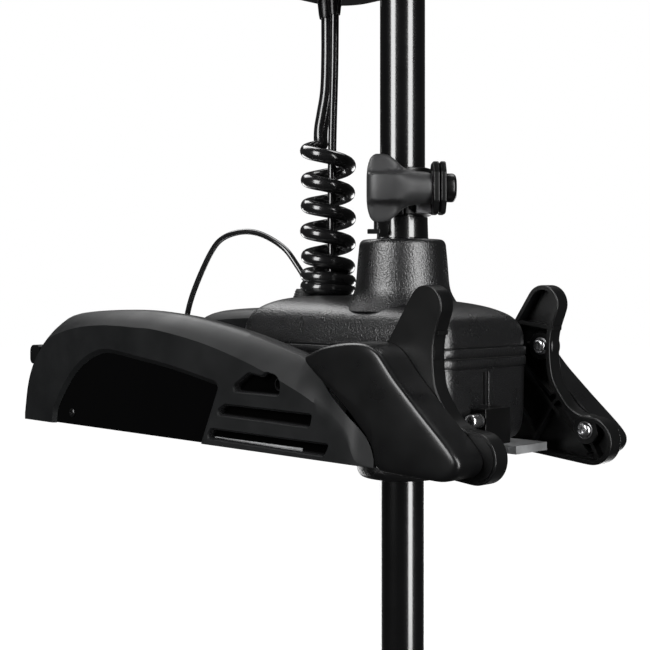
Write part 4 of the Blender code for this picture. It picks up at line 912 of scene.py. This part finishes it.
def tube(name, points, radius, sides):
    """A round cord along a route, as a mesh with flat ends, and its route in the row frame."""
    route = [Vector(p) for p in points]
    ahead = (route[1] - route[0]).normalized()
    across = ahead.orthogonal().normalized()
    rings = []
    for i, here in enumerate(route):
        before, after = route[max(0, i - 1)], route[min(len(route) - 1, i + 1)]
        ahead = (after - before).normalized()
        across = (across - ahead * across.dot(ahead)).normalized()
        other = ahead.cross(across)
        ring = [here + (across * math.cos(a) + other * math.sin(a)) * radius
                for a in (math.tau * k / sides for k in range(sides))]
        rings.append([tuple(p) for p in ring])
    obj = solid(name, loft(rings))
    return obj, [((p.x + DECK_TO_SHAFT) * MM, p.y * MM, p.z * MM) for p in route]


def place_cord(name, points, radius, sides, bodies, start, end, nodes, slot="cord_jacket"):
    """A cord along a route, with its finish, baked into the row frame; the bodies, start and end it is given are not
    used.
    """
    obj, route = tube(name, points, radius, sides)
    obj.data.materials.append(LOOKS["cord_jacket"])
    obj.data.shade_smooth()
    obj.data.set_sharp_from_angle(angle=math.radians(50))
    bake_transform(obj)
    if nodes:
        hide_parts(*nodes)
    return obj


def coil_points():
    """The coiled cord from its gland up to its tail, as it hangs: close turns below, open ones above."""
    cx, cy, helix_r = -78.5, 11.0, 14.1
    front = math.radians(-44.5)
    strands = [100.0, 106.7, 118.1, 135.1, 152.5, 169.8, 189.0]
    key = [(-0.745, 98.2)] + [(float(i), z) for i, z in enumerate(strands)] + [(6.447, 199.0)]
    total = key[-1][0] - key[0][0]
    steps = int(total * STEPS_PER_TURN)
    line = []
    for i in range(steps + 1):
        turn = key[0][0] + total * i / steps
        angle = front - math.tau * turn
        wobble = 0.35 * math.sin(turn * 2.3)
        reach = helix_r + wobble
        line.append((cx + reach * math.cos(angle), cy + reach * math.sin(angle), height_at(key, turn)))
    return line


def height_at(key, turn):
    """Height at a turn on a smooth curve through the key heights."""
    for i in range(len(key) - 1):
        (t1, z1), (t2, z2) = key[i], key[i + 1]
        if turn <= t2 + 1e-9:
            t0, z0 = key[i - 1] if i else (2 * t1 - t2, 2 * z1 - z2)
            t3, z3 = key[i + 2] if i + 2 < len(key) else (2 * t2 - t1, 2 * z2 - z1)
            m1 = (z2 - z0) / (t2 - t0)
            m2 = (z3 - z1) / (t3 - t1)
            h, s = t2 - t1, (turn - t1) / (t2 - t1)
            return ((2 * s**3 - 3 * s * s + 1) * z1 + (s**3 - 2 * s * s + s) * h * m1
                    + (3 * s * s - 2 * s**3) * z2 + (s**3 - s * s) * h * m2)
    return key[-1][1]


def cords():
    """The coiled cord and the straight cable inside it, each in two lengths, and the harness loop."""
    coil = coil_points()
    lowest = [(-89.5, 0.5, 92.0), (-89.4, 0.6, 95.0)]
    first = lowest + [p for p in coil if p[2] > COIL_FOOT_Z]
    split = next(i for i, p in enumerate(first) if p[2] > COIL_SPLIT_Z)
    low, high = first[: split + 1], [p for p in coil if p[2] >= first[split][2] - 1e-6]
    tail = smooth([high[-1], (-93.4, 18.4, 205.0), (-93.6, 19.2, 213), (-91.6, 19.7, 223), (-88.8, 20.2, 238),
                   (-88, 20.5, 262), (-88, 20.5, 289)], 8)
    place_cord("coil_lower_turns", low, CORD_R, 20, ("steering_unit", "steer_tube"), *LOWER_BLEND, ["coil_cord"])
    place_cord("coil_upper_turns", high + tail[1:], CORD_R, 20, ("steer_tube", "shaft_unit"), *UPPER_BLEND,
               ["coil_cord_tail"])
    line = smooth([(-78.0, 14.0, 93.0), (-78.0, 14.0, 99.8), (-78.3, 14.4, 125), (-78.4, 14.4, 150)], 12)
    place_cord("sensor_cable_lower", line, CABLE_R, 18, ("steering_unit", "steer_tube"), *LOWER_BLEND, [])
    line = smooth([(-78.4, 14.4, 149.6), (-78.4, 15, 200), (-76.4, 14.8, 250), (-75.5, 14.5, 289)], 14)
    place_cord("sensor_cable_upper", line, CABLE_R, 18, ("steer_tube", "shaft_unit"), *UPPER_BLEND, ["sensor_cable"])
    loop = [
        (-232, 2, 12), (-232, 2, 17), (-230.6, 2, 36), (-226.6, 2, 62), (-220.7, 2, 84.9), (-211.2, 3, 105.1),
        (-196.5, 5, 128.1),
        (-184.9, 7, 137.8), (-165.5, 9, 141.6), (-147.9, 12, 139), (-127.5, 14.6, 129), (-116, 17, 116.3),
        (-107.6, 19, 103.8), (-104.6, 20.2, 93.2), (-104.0, 20.4, 90.5),
    ]
    place_cord("harness_loop", smooth(loop, 8), HARNESS_R, 16, ("mount", "steering_unit"), *HARNESS_BLEND,
               ["harness_cable"])


for side in ("right", "left"):
    side_cover(side)
    side_panel(side)
    arm_cover(side)
    motor_ramp(side)
    ramp_screw(side, "upper", *ARM_SCREWS[0], 60.1)
    ramp_screw(side, "lower", *ARM_SCREWS[1], 76.0)
stow_pedal()
upper_housing()
lower_housing()
latch()
grommet("coil_grommet", "coil_cord_gland", "steering_unit", COIL_GLAND, 5.2, 9.0, 6.8, 86, 99.8)
grommet("sensor_grommet", "sensor_cable_gland", "steering_unit", CABLE_GLAND, 3.2, 6.0, 4.4, 87, 99.2)
grommet("harness_grommet", "harness_gland", "mount", HARNESS_GLAND, 2.4, 7.0, 4.6, 5.3, 16.4)
drive_tube()
depth_collar()
collar_knob()
shaft()
control_head()
lower_unit()
cords()


# ---------------------------------------------------------------- camera, light and stage

SENSOR_MM = 36.0
FOCAL_MM = 69.031
LENS_SHIFT = -0.05918
CAMERA_AT = (0.650728, -0.590428, 0.10131)
CAMERA_TURN = 45.51
AMBIENT = 0.03
FLOOR_DROP = 0.002

camera_data = bpy.data.cameras.new("camera")
camera_data.sensor_width = SENSOR_MM
camera_data.lens = FOCAL_MM
camera_data.shift_y = LENS_SHIFT
camera_data.clip_end = 50.0
camera = bpy.data.objects.new("camera", camera_data)
bpy.context.scene.collection.objects.link(camera)
camera.location = CAMERA_AT
camera.rotation_euler = (math.radians(90), 0, math.radians(CAMERA_TURN))
bpy.context.scene.camera = camera
bpy.context.scene.view_settings.view_transform = "Standard"

TOWARDS_CAMERA = Vector((0.7133, -0.7008, 0.0))
TO_THE_RIGHT = Vector((0.7008, 0.7133, 0.0))
LIT_POINT = Vector((0.12, 0.0, 0.08))


def softbox(name, bearing, distance, height, width, tall, radiance):
    """A rectangular light at a bearing from the camera's direction, clockwise in degrees as seen in the picture."""
    a = math.radians(bearing)
    place = LIT_POINT + (TOWARDS_CAMERA * math.cos(a) + TO_THE_RIGHT * math.sin(a)) * distance
    place.z = height
    data = bpy.data.lights.new(name, "AREA")
    data.shape = "RECTANGLE"
    data.size, data.size_y = width, tall
    data.energy = radiance * math.pi * width * tall
    obj = bpy.data.objects.new(name, data)
    bpy.context.scene.collection.objects.link(obj)
    obj.location = place
    obj.rotation_euler = (LIT_POINT - place).to_track_quat("-Z", "Y").to_euler()


# name, bearing, distance, height, width, tall, radiance
SOFTBOXES = [
    ("left_strip", -52, 1.7, 0.75, 0.74, 1.5, 10.5),
    ("right_strip", 37, 1.7, 0.42, 0.70, 2.3, 10.5),
    ("overhead", 175, 0.45, 1.8, 1.3, 1.0, 4),
    ("rear_left", -144, 1.25, 1.4, 0.9, 0.9, 4.4),
    ("rear_right", 150, 1.0, 1.6, 0.7, 0.7, 2.5),
    ("back_left", -150, 1.9, -0.45, 0.7, 0.9, 3.5),
    ("back_right", 150, 1.9, -0.45, 0.7, 0.9, 4),
]
for row in SOFTBOXES:
    softbox(*row)

world = bpy.data.worlds.new("studio")
bpy.context.scene.world = world
world.use_nodes = True
tree = world.node_tree
seen = tree.nodes["Background"]
seen.inputs["Color"].default_value = (1, 1, 1, 1)
ambient = tree.nodes.new("ShaderNodeBackground")
ambient.inputs["Color"].default_value = (1.0, 1.0, 1.0, 1)
ambient.inputs["Strength"].default_value = AMBIENT
path = tree.nodes.new("ShaderNodeLightPath")
mix = tree.nodes.new("ShaderNodeMixShader")
tree.links.new(path.outputs["Is Camera Ray"], mix.inputs["Fac"])
tree.links.new(ambient.outputs["Background"], mix.inputs[1])
tree.links.new(seen.outputs["Background"], mix.inputs[2])
tree.links.new(mix.outputs["Shader"], tree.nodes["World Output"].inputs["Surface"])

floor_mesh = bmesh.new()
bmesh.ops.create_grid(floor_mesh, x_segments=1, y_segments=1, size=20)
floor_data = bpy.data.meshes.new("floor")
floor_mesh.to_mesh(floor_data)
floor_mesh.free()
floor = bpy.data.objects.new("floor", floor_data)
floor.location = (0, 0, cad_box[0].z - FLOOR_DROP)
bpy.context.scene.collection.objects.link(floor)
pale = bpy.data.materials.new("look_floor")
pale.use_nodes = True
glow = pale.node_tree.nodes["Principled BSDF"]
glow.inputs["Base Color"].default_value = (0.9, 0.9, 0.9, 1)
glow.inputs["Emission Color"].default_value = (1, 1, 1, 1)
glow.inputs["Emission Strength"].default_value = 1.0
floor_data.materials.append(pale)
floor.visible_diffuse = False
floor.visible_glossy = False
